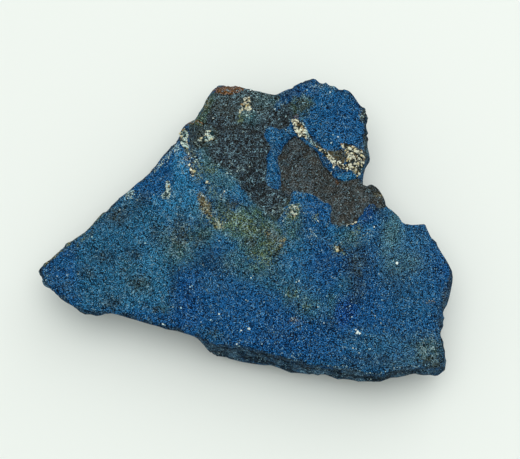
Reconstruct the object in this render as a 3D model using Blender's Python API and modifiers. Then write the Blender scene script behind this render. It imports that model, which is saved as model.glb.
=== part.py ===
"""Aerinite specimen: a broken slab of dark dolerite whose top face carries a blue aerinite crust.

One natural piece, in metres, +Z up. The origin is the middle of its bounding box in plan, on the
surface that it rests on. +X runs along the longest side, and +Y towards the side with two lobes.

How the shape is made
  1. The widest contour of the stone is a flat outline with corners, extruded to a slab.
  2. The slab is remeshed to even cells.
  3. Each point of the slab is moved by rules: the wall is drawn in above and below its widest
     height, the top follows gentle swells and hollows, the bare patch of rock sits lower than the
     crust round it, and the underside is a few broken facets round one flat resting facet.
  4. The mesh is thinned, and the resting facet is set exactly flat.
"""

import math

import bmesh
import bpy
import numpy as np
from mathutils import Vector, noise

# ---------------------------------------------------------------- driving dimensions
# lengths in millimetres, scaled to metres when the mesh is finished
DRAFT_STEP = 0.15  # one step of the drafting grid, at the middle of the stone
EYE_DISTANCE = 238.0  # the outline is drafted in perspective, from a point this far off
EYE_ELEVATION = math.radians(72.0)  # and this high above the table, on the -Y side
EYE_TARGET = (1.99, 0.30, 4.5)  # the point that the eye looks at
SHEET_MIDDLE = (260.0, 229.5)  # where that point falls on the drafting sheet

TOP = 8.7  # mean height of the top face above the table
TOP_SLOPE_X = 0.024  # rise of the top face per millimetre towards +X
TOP_SLOPE_Y = 0.006  # and towards +Y
CELL = 0.72  # side of a remeshed cell
TRIANGLES = 7600  # after thinning
WALL_REACH = 8.0  # how far in from the wall its slope is felt
SOFTEN = 2.4  # length over which the contour's corners are softened above and below the widest
CHIP_SPREAD = 9.0  # a chip's plane bows away by the square of the distance along the edge over this
ROUGH = 0.22  # height of the broken rock's roughness
REST_BAND = 0.10  # points lower than this are part of the flat resting facet

# The widest contour, clockwise from the tip at -X, in steps of the drafting sheet.
LEFT_EDGE = [
    (38.5, 271.5), (40, 268.5), (43, 265.5), (44, 263.5), (48, 261), (51, 259), (55, 255),
    (60, 250.5), (64, 247), (66, 243.5), (69, 242), (72, 241), (76, 238), (80, 235.5), (84, 232.5),
    (88, 229), (92, 225), (96, 220), (100, 215.5), (103, 212.5), (106, 212), (109, 209),
    (111.5, 205.5), (114, 203.5), (117, 200.5), (119, 198), (123, 195.5), (128, 191.5), (133, 187),
    (138, 182.5), (142, 180), (147, 175), (151, 170.5), (156, 165.5), (160, 159.5), (164, 154.5),
    (168, 150.5), (171, 146), (175, 142.5), (178, 139.5), (179.5, 136), (180.5, 132), (183, 127.5),
]
FAR_EDGE = [
    (186, 124), (190, 122), (195, 119.5), (198, 115), (199, 112.5), (203, 107), (206, 100),
    (210, 94), (213, 90), (217, 86.5), (218.5, 85.5), (223, 85.3), (229, 86), (233, 85.5),
    (238, 86), (242, 87.5), (247, 89), (251, 89), (254, 90.5), (260, 91.5), (267, 93.5),
    (272, 94.5), (276, 95), (280, 93), (285, 90.5), (289, 89), (292, 89), (294, 86), (299, 83.5),
    (304, 81), (309, 80), (313, 78.5), (316, 79.5), (319, 82.5), (322, 84), (326, 82.5),
    (329, 85.5), (331, 86), (334, 86), (337, 88), (340, 91), (344, 89.3), (348, 90.5), (351, 92.5),
]
RIGHT_EDGE = [
    (354, 96.5), (357, 101), (360, 105.5), (363, 107.5), (367, 108), (368, 111.5), (368, 115.5),
    (370, 118.5), (368, 121), (366, 125), (366.5, 129), (368.5, 134), (369, 138), (367.5, 142),
    (367.5, 147), (369, 153), (370, 158), (369.5, 162), (367.5, 165), (365.5, 168), (364, 173),
    (363, 179), (363, 184.5), (363.5, 187.5), (364.5, 187), (367, 186.5), (369, 185),
    (372, 184.5), (376, 187), (379, 190), (383, 196), (385, 201), (386, 206), (387, 207.5),
    (391, 209.5), (395, 213), (399, 217), (402, 222), (404, 224), (407, 224), (412, 225),
    (419, 224.5), (424, 224), (425.5, 225), (427, 229), (429, 233), (431, 237.5), (434, 240),
    (436.5, 242.5), (437.5, 246), (440, 250), (443, 255), (446, 259.5), (449, 265), (452, 271),
    (452.8, 277), (452.5, 282), (451, 290), (449, 299), (447, 305), (444, 310), (442.5, 314),
    (444.5, 318), (443, 322), (443.5, 326), (441, 331), (440, 335.5), (442, 338.5), (443.5, 342),
    (443.5, 346), (445, 351), (445, 356), (446.3, 361), (445.5, 366), (445, 370), (442, 372.5),
    (438, 375.5), (435, 376),
]
NEAR_EDGE = [
    (430, 375), (424, 375.3), (418, 374.7), (415, 373.5), (410, 374.5), (404, 376.2), (397, 377.5),
    (391, 377.8), (385, 380), (380, 381.8), (374, 381.8), (368, 381.5), (363, 381.5), (359, 381.8),
    (355, 380.8), (350, 379.7), (343, 379), (338, 379.5), (333, 377.5), (329, 376), (325, 374.5),
    (320, 374.5), (318, 375.5), (313, 374), (309, 374.5), (303, 373.5), (297, 373), (291, 373),
    (286, 371), (281, 368.8), (276, 367), (271, 365.3), (264, 365.3), (256, 364.3), (248, 363),
    (242, 362), (236, 360.5), (230, 359), (226, 357), (221, 357), (217, 356.5), (212, 354),
    (208, 350.5), (204, 345.5), (200, 341), (196, 337.5), (190, 335), (183, 333), (177, 331),
    (170, 330), (165, 329), (160, 327), (155, 325.5), (150, 324.5), (142, 322), (134, 319.5),
    (128, 318), (122, 316), (116, 314.3), (110, 313.5), (105, 314), (101, 315.5), (96, 316),
    (91, 314.5), (85, 314.5), (80, 312), (76, 308.5), (72, 305.5), (66, 302.5), (61, 299),
    (57, 295), (53, 291.5), (50, 288.5), (46, 287), (43, 284.5), (42, 281), (42, 277), (40, 275.5),
]

# The wall, station by station: the outline's point nearest (u, v), the height where the wall is
# widest, how far the rim of the top face lies inside that contour, and how far the foot does.
WALL = [
    # u, v, widest, rim inset, foot inset
    (38.5, 271.5, 7.0, 0.35, 2.6),
    (52, 258, 6.9, 0.45, 1.6),
    (88, 229, 7.1, 0.45, 1.5),
    (119, 198, 7.2, 0.40, 1.5),
    (150, 171, 7.5, 0.30, 1.4),
    (180, 134, 7.4, 0.35, 1.3),
    (190, 122, 7.0, 0.85, 1.3),
    (200, 112, 6.7, 1.10, 1.2),
    (212, 91, 6.6, 1.20, 1.0),
    (230, 86, 6.8, 1.20, 1.0),
    (246, 88.5, 7.4, 0.65, 1.0),
    (256, 91, 8.0, 0.30, 1.0),
    (276, 95, 8.0, 0.25, 1.2),
    (313, 79, 8.1, 0.25, 1.4),
    (344, 90, 8.0, 0.30, 1.4),
    (360, 105.5, 7.4, 0.35, 1.4),
    (368, 113, 6.0, 0.50, 1.4),
    (369, 136, 5.0, 0.70, 1.3),
    (369, 156, 5.2, 0.45, 1.3),
    (363.5, 183, 6.6, 0.25, 1.2),
    (376, 187, 6.6, 0.50, 1.0),
    (386, 205, 6.5, 0.50, 1.0),
    (391, 209.5, 7.6, 0.30, 1.2),
    (404, 224, 8.2, 0.25, 1.3),
    (425, 225, 8.2, 0.30, 1.4),
    (440, 250, 7.2, 0.45, 1.5),
    (452.5, 277, 6.0, 0.60, 1.5),
    (447, 305, 4.8, 0.80, 1.3),
    (441, 331, 4.6, 0.80, 1.2),
    (446, 361, 5.0, 0.60, 1.2),
    (440, 374, 5.2, 0.40, 1.5),
    (430, 375, 5.4, 0.25, 1.7),
    (410, 374.5, 5.0, 0.26, 1.8),
    (391, 377.8, 5.8, 0.25, 1.9),
    (374, 381.8, 5.6, 0.28, 1.9),
    (363, 381.5, 5.0, 0.40, 1.6),
    (350, 379.7, 3.9, 0.45, 1.2),
    (333, 377.5, 3.8, 0.52, 1.1),
    (313, 374, 4.4, 0.40, 1.2),
    (291, 373, 2.7, 0.55, 0.8),
    (264, 365.3, 3.0, 0.58, 0.8),
    (242, 362, 1.7, 0.72, 0.5),
    (226, 357, 2.2, 0.55, 0.6),
    (212, 354, 3.2, 0.42, 0.9),
    (204, 345.5, 5.4, 0.20, 2.0),
    (190, 335, 7.0, 0.15, 2.8),
    (150, 324.5, 7.0, 0.15, 3.0),
    (105, 314, 6.9, 0.15, 3.0),
    (76, 308.5, 6.8, 0.20, 2.8),
    (50, 288.5, 6.8, 0.25, 2.7),
]

# Swells (+) and hollows (-) of the top face: u, v, radius along u, radius along v, height.
SWELLS = [
    (300, 300, 110, 55, 0.55),
    (400, 285, 45, 70, 0.35),
    (362, 275, 13, 38, -0.38),
    (215, 245, 32, 24, -0.45),
    (173, 275, 8, 60, -0.28),
    (110, 265, 50, 40, 0.18),
    (238, 140, 30, 42, -0.35),
    (330, 110, 30, 26, 0.30),
    (262, 235, 34, 22, 0.25),
    (352, 158, 15, 13, 0.35),
    (430, 355, 22, 20, -0.45),
    (220, 330, 30, 14, -0.20),
]

# The bare, lower patch of rock between two parts of the crust, and its depth.
BARE_PATCH = [
    (288, 139), (300, 137), (308, 143), (320, 153), (327, 163), (334, 172), (348, 180), (361, 182),
    (364, 187), (372, 182), (384, 188), (392, 205), (386, 210), (376, 206), (368, 212), (360, 219),
    (350, 224), (342, 226), (336, 222), (335, 212), (328, 205), (315, 197), (303, 193), (292, 194),
    (283, 187), (280, 176), (279, 165), (278, 155), (281, 146),
]
BARE_DEPTH = 0.55
BARE_EDGE = 0.45  # width of the crust's broken edge round it

# The underside's broken facets: a line through (x, y) whose rise grows along (dx, dy) at a slope.
# What lies inside all the lines is the flat resting facet, about 20 x 18 mm, under the centre of mass.
FACETS = [
    (-5.5, -2.0, -0.96, -0.28, 0.20),
    (-15.0, 1.0, -0.80, -0.60, 0.12),
    (-3.0, 6.5, -0.45, 0.89, 0.14),
    (9.0, 8.0, 0.35, 0.94, 0.13),
    (15.0, -2.0, 0.97, 0.26, 0.11),
    (2.0, -13.5, 0.18, -0.98, 0.14),
    (17.5, -12.0, 0.75, -0.66, 0.22),
    (20.0, 4.0, 0.70, 0.71, 0.20),
]

# Chips broken off the lower edge: a plane through the outline's point (u, v) at a height, facing
# outwards at a heading (degrees from +X) and downwards at a dip. What lies beyond it is gone, near
# that point: the plane bows outwards along the edge, so each chip dies out to both sides.
CHIPS = [
    (60, 250, 5.6, 128, 48),
    (100, 215, 4.6, 140, 34),
    (140, 181, 5.2, 131, 45),
    (172, 145, 3.6, 140, 30),
    (201, 108, 4.4, 150, 41),
    (228, 86, 3.2, 88, 33),
    (262, 92, 4.8, 104, 44),
    (300, 84, 4.2, 62, 36),
    (338, 88, 5.0, 98, 42),
    (364, 108, 3.4, 38, 38),
    (369, 146, 2.8, 2, 30),
    (410, 224, 5.0, 82, 40),
    (436, 242, 3.6, 48, 32),
    (452, 277, 3.4, 12, 42),
    (446, 308, 2.2, -14, 26),
    (442, 335, 2.8, 6, 38),
    (446, 365, 3.2, -24, 34),
    (412, 375, 3.6, -78, 36),
    (378, 381, 4.4, -98, 42),
    (345, 379, 2.2, -84, 28),
    (300, 373, 1.6, -96, 24),
    (256, 364, 1.7, -108, 30),
    (170, 330, 5.8, -96, 50),
    (118, 315, 5.4, -108, 44),
    (70, 304, 5.6, -112, 52),
]


# ---------------------------------------------------------------- drafting
def on_height(u, v, z):
    """The plan position, in millimetres, of the drafted point (u, v) carried down its line of sight to height z."""
    cos_e, sin_e = math.cos(EYE_ELEVATION), math.sin(EYE_ELEVATION)
    step = DRAFT_STEP / EYE_DISTANCE
    right = (np.asarray(u, float) - SHEET_MIDDLE[0]) * step
    up = (SHEET_MIDDLE[1] - np.asarray(v, float)) * step
    ray_y, ray_z = cos_e + up * sin_e, -sin_e + up * cos_e
    eye_y = EYE_TARGET[1] - EYE_DISTANCE * cos_e
    eye_z = EYE_TARGET[2] + EYE_DISTANCE * sin_e
    along = (z - eye_z) / ray_z
    return EYE_TARGET[0] + right * along, eye_y + ray_y * along


def smooth(x):
    x = np.clip(x, 0.0, 1.0)
    return x * x * (3.0 - 2.0 * x)


def stations(outline):
    """For each point of the outline, the wall's widest height, rim inset and foot inset, read between the stations."""
    points = np.array(outline, float)
    steps = np.hypot(*(np.roll(points, -1, axis=0) - points).T)
    along = np.concatenate([[0.0], np.cumsum(steps)])
    total = along[-1]
    rows = []
    for u, v, *values in WALL:
        nearest = int(np.argmin(np.hypot(points[:, 0] - u, points[:, 1] - v)))
        rows.append((along[nearest], *values))
    rows.sort()
    table = np.array(rows)
    table = np.vstack([table[-1] - [total, 0, 0, 0], table, table[0] + [total, 0, 0, 0]])
    return np.stack([np.interp(along[:-1], table[:, 0], table[:, k]) for k in (1, 2, 3)], axis=1)


class Contour:
    """The widest contour in plan, with the wall's numbers at each of its points."""

    def __init__(self):
        outline = LEFT_EDGE + FAR_EDGE + RIGHT_EDGE + NEAR_EDGE
        self.wall = stations(outline)
        u, v = np.array(outline, float).T
        x, y = on_height(u, v, self.wall[:, 0])
        self.points = np.stack([x, y], axis=1)
        ahead = np.roll(self.points, -1, axis=0) - self.points
        self.ahead, self.length = ahead, np.hypot(*ahead.T)
        # the outline runs clockwise, so the inside is on its right
        self.inward = np.stack([ahead[:, 1], -ahead[:, 0]], axis=1) / self.length[:, None]
        self.next_wall = np.roll(self.wall, -1, axis=0)
        # where the contour would be without its small corners: the wall is plainer away from its widest
        along = np.cumsum(self.length) - self.length
        apart = np.abs(along[:, None] - along[None, :])
        apart = np.minimum(apart, self.length.sum() - apart)
        weight = np.exp(-((apart / SOFTEN) ** 2)) * self.length
        self.soften = weight @ self.points / weight.sum(axis=1, keepdims=True) - self.points
        self.next_soften = np.roll(self.soften, -1, axis=0)

    def read(self, x, y):
        """Distance to the contour, the wall's numbers, the inward direction and the step to the softened contour."""
        distance = np.empty(len(x))
        numbers = np.empty((len(x), 3))
        inward = np.empty((len(x), 2))
        soften = np.empty((len(x), 2))
        for start in range(0, len(x), 4000):
            part = slice(start, start + 4000)
            px, py = x[part, None] - self.points[:, 0], y[part, None] - self.points[:, 1]
            share = (px * self.ahead[:, 0] + py * self.ahead[:, 1]) / self.length**2
            share = np.clip(share, 0.0, 1.0)
            dx, dy = px - share * self.ahead[:, 0], py - share * self.ahead[:, 1]
            squared = dx * dx + dy * dy
            weight = self.length / (squared + 0.35**2) ** 3
            weight /= weight.sum(axis=1, keepdims=True)
            distance[part] = np.sqrt(squared.min(axis=1))
            for k in range(3):
                values = self.wall[:, k] * (1 - share) + self.next_wall[:, k] * share
                numbers[part, k] = (weight * values).sum(axis=1)
            for k in range(2):
                values = self.soften[:, k] * (1 - share) + self.next_soften[:, k] * share
                soften[part, k] = (weight * values).sum(axis=1)
            inward[part] = weight @ self.inward
        inward /= np.hypot(*inward.T)[:, None] + 1e-9
        return distance, numbers, inward, soften


def patch_depth(x, y, corners, edge):
    """1 inside a closed figure drafted on the top face, 0 outside it, with a soft edge."""
    cx, cy = on_height(*np.array(corners, float).T, TOP)
    inside = np.zeros(len(x), bool)
    nearest = np.full(len(x), 1e9)
    for ax, ay, bx, by in zip(cx, cy, np.roll(cx, -1), np.roll(cy, -1)):
        crosses = (ay > y) != (by > y)
        with np.errstate(divide="ignore", invalid="ignore"):
            inside ^= crosses & (x < (bx - ax) * (y - ay) / (by - ay) + ax)
        run = (bx - ax) ** 2 + (by - ay) ** 2
        share = np.clip(((x - ax) * (bx - ax) + (y - ay) * (by - ay)) / run, 0, 1)
        gap = np.hypot(x - ax - share * (bx - ax), y - ay - share * (by - ay))
        nearest = np.minimum(nearest, gap)
    return smooth(0.5 + np.where(inside, nearest, -nearest) / edge)


def top_height(x, y):
    height = TOP + TOP_SLOPE_X * x + TOP_SLOPE_Y * y
    for u, v, ru, rv, rise in SWELLS:
        cx, cy = on_height(u, v, TOP)
        rx, ry = ru * DRAFT_STEP, rv * DRAFT_STEP
        height = height + rise * np.exp(-(((x - cx) / rx) ** 2) - ((y - cy) / ry) ** 2)
    return height - BARE_DEPTH * patch_depth(x, y, BARE_PATCH, BARE_EDGE)


def under_height(x, y):
    height = np.zeros(len(x))
    for fx, fy, dx, dy, slope in FACETS:
        height = np.maximum(height, slope * ((x - fx) * dx + (y - fy) * dy))
    return height


def roughness(points, size, seed):
    """Broken-rock noise, about -1 to 1, with features of the given size in millimetres."""
    shift = Vector((seed * 7.3, seed * 3.1, seed * 5.7))
    return np.array(
        [
            noise.noise(Vector(p) / size + shift)
            + 0.5 * noise.noise(Vector(p) / (size * 0.45) + shift)
            for p in points
        ]
    )


# ---------------------------------------------------------------- modelling
def clear_scene():
    for obj in list(bpy.data.objects):
        bpy.data.objects.remove(obj, do_unlink=True)


def slab(contour, collection):
    """The widest contour as a filled curve, extruded to a slab 10 mm thick, as a mesh in millimetres."""
    curve = bpy.data.curves.new("outline", "CURVE")
    curve.dimensions = "2D"
    curve.fill_mode = "BOTH"
    curve.extrude = 5.0
    spline = curve.splines.new("POLY")
    spline.points.add(len(contour.points) - 1)
    for point, (x, y) in zip(spline.points, contour.points):
        point.co = (x, y, 0.0, 1.0)
    spline.use_cyclic_u = True
    outline = bpy.data.objects.new("outline", curve)
    collection.objects.link(outline)
    bpy.context.view_layer.update()
    mesh = bpy.data.meshes.new_from_object(
        outline.evaluated_get(bpy.context.evaluated_depsgraph_get())
    )
    bpy.data.objects.remove(outline, do_unlink=True)
    bm = bmesh.new()
    bm.from_mesh(mesh)
    bmesh.ops.remove_doubles(bm, verts=bm.verts, dist=1e-4)
    bmesh.ops.recalc_face_normals(bm, faces=bm.faces)
    bm.to_mesh(mesh)
    bm.free()
    return mesh


def through_modifier(mesh, name, kind, collection, **settings):
    """The mesh as one modifier leaves it."""
    obj = bpy.data.objects.new(name, mesh)
    collection.objects.link(obj)
    modifier = obj.modifiers.new(name, kind)
    for key, value in settings.items():
        setattr(modifier, key, value)
    bpy.context.view_layer.update()
    made = bpy.data.meshes.new_from_object(
        obj.evaluated_get(bpy.context.evaluated_depsgraph_get())
    )
    bpy.data.objects.remove(obj, do_unlink=True)
    return made


def shape_stone(mesh, contour):
    """Moves each point of the slab to its place on the stone."""
    points = np.empty(len(mesh.vertices) * 3, np.float32)
    mesh.vertices.foreach_get("co", points)
    points = points.reshape(-1, 3).astype(float)
    x, y = points[:, 0], points[:, 1]
    share = np.clip((points[:, 2] + 5.0) / 10.0, 0.0, 1.0)  # 0 on the underside, 1 on the top
    distance, wall, inward, soften = contour.read(x, y)
    widest, rim, foot = wall.T
    top, under = top_height(x, y), under_height(x, y)
    turn = np.clip((widest - under) / (top - under), 0.05, 0.95)
    above = np.clip((share - turn) / (1 - turn), 0, 1)
    below = np.clip((turn - share) / turn, 0, 1)
    fall = np.clip(1 - distance / WALL_REACH, 0, 1) ** 2
    inset = (rim * above**1.6 + foot * below**1.4) * fall
    plain = fall * (0.55 * smooth(above / 0.8) + smooth(below / 0.6))
    x = x + inward[:, 0] * inset + soften[:, 0] * plain
    y = y + inward[:, 1] * inset + soften[:, 1] * plain

    top, under = top_height(x, y), under_height(x, y)
    top = top - 0.30 * np.clip(1 - distance / 1.3, 0, 1) ** 2
    z = under + share * (top - under)
    placed = np.stack([x, y, z], axis=1)
    for u, v, height, heading, dip in CHIPS:
        heading, dip = math.radians(heading), math.radians(dip)
        on_plane = np.array([*on_height(u, v, height), height])
        facing = np.array(
            [math.cos(heading) * math.cos(dip), math.sin(heading) * math.cos(dip), -math.sin(dip)]
        )
        away = placed - on_plane
        along = away[:, 1] * math.cos(heading) - away[:, 0] * math.sin(heading)
        beyond = np.clip(away @ facing - along**2 / CHIP_SPREAD, 0, None)
        placed -= beyond[:, None] * facing
    z = placed[:, 2]

    # broken rock: the walls and the raised part of the underside are rougher than the crust
    side = np.clip(1 - distance / 1.0, 0, 1) * smooth(share / 0.15) * smooth((1 - share) / 0.1)
    rough = roughness(placed, 2.6, 1)
    placed[:, :2] += inward * (ROUGH * side * rough)[:, None]
    lifted = np.clip(placed[:, 2] / 0.8, 0, 1) * (1 - smooth(share / 0.5))
    crust = smooth((share - 0.6) / 0.4)
    placed[:, 2] += ROUGH * rough * lifted * 0.8 + 0.10 * rough * crust
    flat = placed[:, 2] < REST_BAND
    placed[flat, 2] = 0.0
    mesh.vertices.foreach_set("co", placed.astype(np.float32).ravel())
    mesh.update()


def finish(mesh, collection):
    """Thins the mesh, sets the resting facet flat, and scales it to metres."""
    bm = bmesh.new()
    bm.from_mesh(mesh)
    bmesh.ops.triangulate(bm, faces=bm.faces)
    count = len(bm.faces)
    bm.to_mesh(mesh)
    bm.free()
    mesh = through_modifier(
        mesh, "thin", "DECIMATE", collection, decimate_type="COLLAPSE", ratio=TRIANGLES / count
    )
    bm = bmesh.new()
    bm.from_mesh(mesh)
    for vertex in bm.verts:
        if vertex.co.z < 0.03:
            vertex.co.z = 0.0
    bmesh.ops.scale(bm, vec=(0.001, 0.001, 0.001), verts=bm.verts)
    bmesh.ops.triangulate(bm, faces=bm.faces)
    bmesh.ops.recalc_face_normals(bm, faces=bm.faces)
    bm.to_mesh(mesh)
    bm.free()
    return mesh


def rock_material():
    material = bpy.data.materials.new("aerinite_on_dolerite")
    material.use_nodes = True
    shader = material.node_tree.nodes["Principled BSDF"]
    shader.inputs["Base Color"].default_value = (0.012, 0.080, 0.210, 1.0)
    shader.inputs["Roughness"].default_value = 0.72
    shader.inputs["Metallic"].default_value = 0.0
    return material


def main():
    clear_scene()
    collection = bpy.data.collections.new("aerinite_specimen")
    bpy.context.scene.collection.children.link(collection)
    contour = Contour()
    mesh = slab(contour, collection)
    mesh = through_modifier(
        mesh, "cells", "REMESH", collection, mode="VOXEL", voxel_size=CELL, adaptivity=0.0
    )
    shape_stone(mesh, contour)
    mesh = finish(mesh, collection)
    mesh.name = "aerinite_stone"
    mesh.materials.clear()
    mesh.materials.append(rock_material())
    stone = bpy.data.objects.new("aerinite_stone", mesh)
    collection.objects.link(stone)
    mesh.shade_smooth()
    mesh.set_sharp_from_angle(angle=math.radians(35))


main()
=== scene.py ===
"""Looks of the aerinite specimen: a broken slab of dark dolerite under a granular blue aerinite crust,
with cream zeolite crystals, iron stains and one bare patch of smooth brown rock.

The stone is one closed mesh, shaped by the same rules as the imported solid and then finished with
broken edges, grains and cracks. Loose crystals and flecks are joined meshes that sit in its surface.
Places on the top face are drafted as (u, v) steps on a sheet seen from above and in front, and are
carried down the line of sight to the stone.
"""

import math

import bmesh
import bpy
import numpy as np
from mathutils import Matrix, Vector, noise
from mathutils.bvhtree import BVHTree


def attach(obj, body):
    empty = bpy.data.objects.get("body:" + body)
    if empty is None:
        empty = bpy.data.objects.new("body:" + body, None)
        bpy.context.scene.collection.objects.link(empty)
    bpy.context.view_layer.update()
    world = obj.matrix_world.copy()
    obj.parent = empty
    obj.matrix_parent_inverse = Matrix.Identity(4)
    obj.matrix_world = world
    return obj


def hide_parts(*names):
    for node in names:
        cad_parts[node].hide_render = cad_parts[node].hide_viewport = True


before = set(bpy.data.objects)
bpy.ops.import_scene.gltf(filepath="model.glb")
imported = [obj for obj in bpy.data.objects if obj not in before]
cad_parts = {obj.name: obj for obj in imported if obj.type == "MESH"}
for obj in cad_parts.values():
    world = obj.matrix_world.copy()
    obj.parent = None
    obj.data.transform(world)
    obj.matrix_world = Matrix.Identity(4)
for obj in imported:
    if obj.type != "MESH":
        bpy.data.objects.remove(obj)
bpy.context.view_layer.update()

# ---------------------------------------------------------------- the sheet and the stone's form
# millimetres, scaled to metres when a mesh is finished
DRAFT_STEP = 0.15
EYE_DISTANCE = 238.0
EYE_ELEVATION = math.radians(72.0)
EYE_TARGET = (1.99, 0.30, 4.5)
SHEET_MIDDLE = (260.0, 229.5)

TOP = 8.7
TOP_SLOPE_X = 0.024
TOP_SLOPE_Y = 0.006
WALL_REACH = 8.0
SOFTEN = 2.4
CHIP_SPREAD = 9.0
ROUGH = 0.22
REST_BAND = 0.10

CELL = 0.19  # side of a cell of the fine mesh
SLAB_HALF = 3.5  # half the height of the slab that it starts as
TRIANGLES = 196000  # left after thinning

# The widest contour, clockwise from the tip at -X, in steps of the drafting sheet.
LEFT_EDGE = [
    (38.5, 271.5), (40, 268.5), (43, 265.5), (44, 263.5), (48, 261), (51, 259), (55, 255),
    (60, 250.5), (64, 247), (66, 243.5), (69, 242), (72, 241), (76, 238), (80, 235.5), (84, 232.5),
    (88, 229), (92, 225), (96, 220), (100, 215.5), (103, 212.5), (106, 212), (109, 209),
    (111.5, 205.5), (114, 203.5), (117, 200.5), (119, 198), (123, 195.5), (128, 191.5), (133, 187),
    (138, 182.5), (142, 180), (147, 175), (151, 170.5), (156, 165.5), (160, 159.5), (164, 154.5),
    (168, 150.5), (171, 146), (175, 142.5), (178, 139.5), (179.5, 136), (180.5, 132), (183, 127.5),
]
FAR_EDGE = [
    (186, 124), (190, 122), (195, 119.5), (198, 115), (199, 112.5), (203, 107), (206, 100),
    (210, 94), (213, 90), (217, 86.5), (218.5, 85.5), (223, 85.3), (229, 86), (233, 85.5),
    (238, 86), (242, 87.5), (247, 89), (251, 89), (254, 90.5), (260, 91.5), (267, 93.5),
    (272, 94.5), (276, 95), (280, 93), (285, 90.5), (289, 89), (292, 89), (294, 86), (299, 83.5),
    (304, 81), (309, 80), (313, 78.5), (316, 79.5), (319, 82.5), (322, 84), (326, 82.5),
    (329, 85.5), (331, 86), (334, 86), (337, 88), (340, 91), (344, 89.3), (348, 90.5), (351, 92.5),
]
RIGHT_EDGE = [
    (354, 96.5), (357, 101), (360, 105.5), (363, 107.5), (367, 108), (368, 111.5), (368, 115.5),
    (370, 118.5), (368, 121), (366, 125), (366.5, 129), (368.5, 134), (369, 138), (367.5, 142),
    (367.5, 147), (369, 153), (370, 158), (369.5, 162), (367.5, 165), (365.5, 168), (364, 173),
    (363, 179), (363, 184.5), (363.5, 187.5), (364.5, 187), (367, 186.5), (369, 185),
    (372, 184.5), (376, 187), (379, 190), (383, 196), (385, 201), (386, 206), (387, 207.5),
    (391, 209.5), (395, 213), (399, 217), (402, 222), (404, 224), (407, 224), (412, 225),
    (419, 224.5), (424, 224), (425.5, 225), (427, 229), (429, 233), (431, 237.5), (434, 240),
    (436.5, 242.5), (437.5, 246), (440, 250), (443, 255), (446, 259.5), (449, 265), (452, 271),
    (452.8, 277), (452.5, 282), (451, 290), (449, 299), (447, 305), (444, 310), (442.5, 314),
    (444.5, 318), (443, 322), (443.5, 326), (441, 331), (440, 335.5), (442, 338.5), (443.5, 342),
    (443.5, 346), (445, 351), (445, 356), (446.3, 361), (445.5, 366), (445, 370), (442, 372.5),
    (438, 375.5), (435, 376),
]
NEAR_EDGE = [
    (430, 375), (424, 375.3), (418, 374.7), (415, 373.5), (410, 374.5), (404, 376.2), (397, 377.5),
    (391, 377.8), (385, 380), (380, 381.8), (374, 381.8), (368, 381.5), (363, 381.5), (359, 381.8),
    (355, 380.8), (350, 379.7), (343, 379), (338, 379.5), (333, 377.5), (329, 376), (325, 374.5),
    (320, 374.5), (318, 375.5), (313, 374), (309, 374.5), (303, 373.5), (297, 373), (291, 373),
    (286, 371), (281, 368.8), (276, 367), (271, 365.3), (264, 365.3), (256, 364.3), (248, 363),
    (242, 362), (236, 360.5), (230, 359), (226, 357), (221, 357), (217, 356.5), (212, 354),
    (208, 350.5), (204, 345.5), (200, 341), (196, 337.5), (190, 335), (183, 333), (177, 331),
    (170, 330), (165, 329), (160, 327), (155, 325.5), (150, 324.5), (142, 322), (134, 319.5),
    (128, 318), (122, 316), (116, 314.3), (110, 313.5), (105, 314), (101, 315.5), (96, 316),
    (91, 314.5), (85, 314.5), (80, 312), (76, 308.5), (72, 305.5), (66, 302.5), (61, 299),
    (57, 295), (53, 291.5), (50, 288.5), (46, 287), (43, 284.5), (42, 281), (42, 277), (40, 275.5),
]

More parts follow.
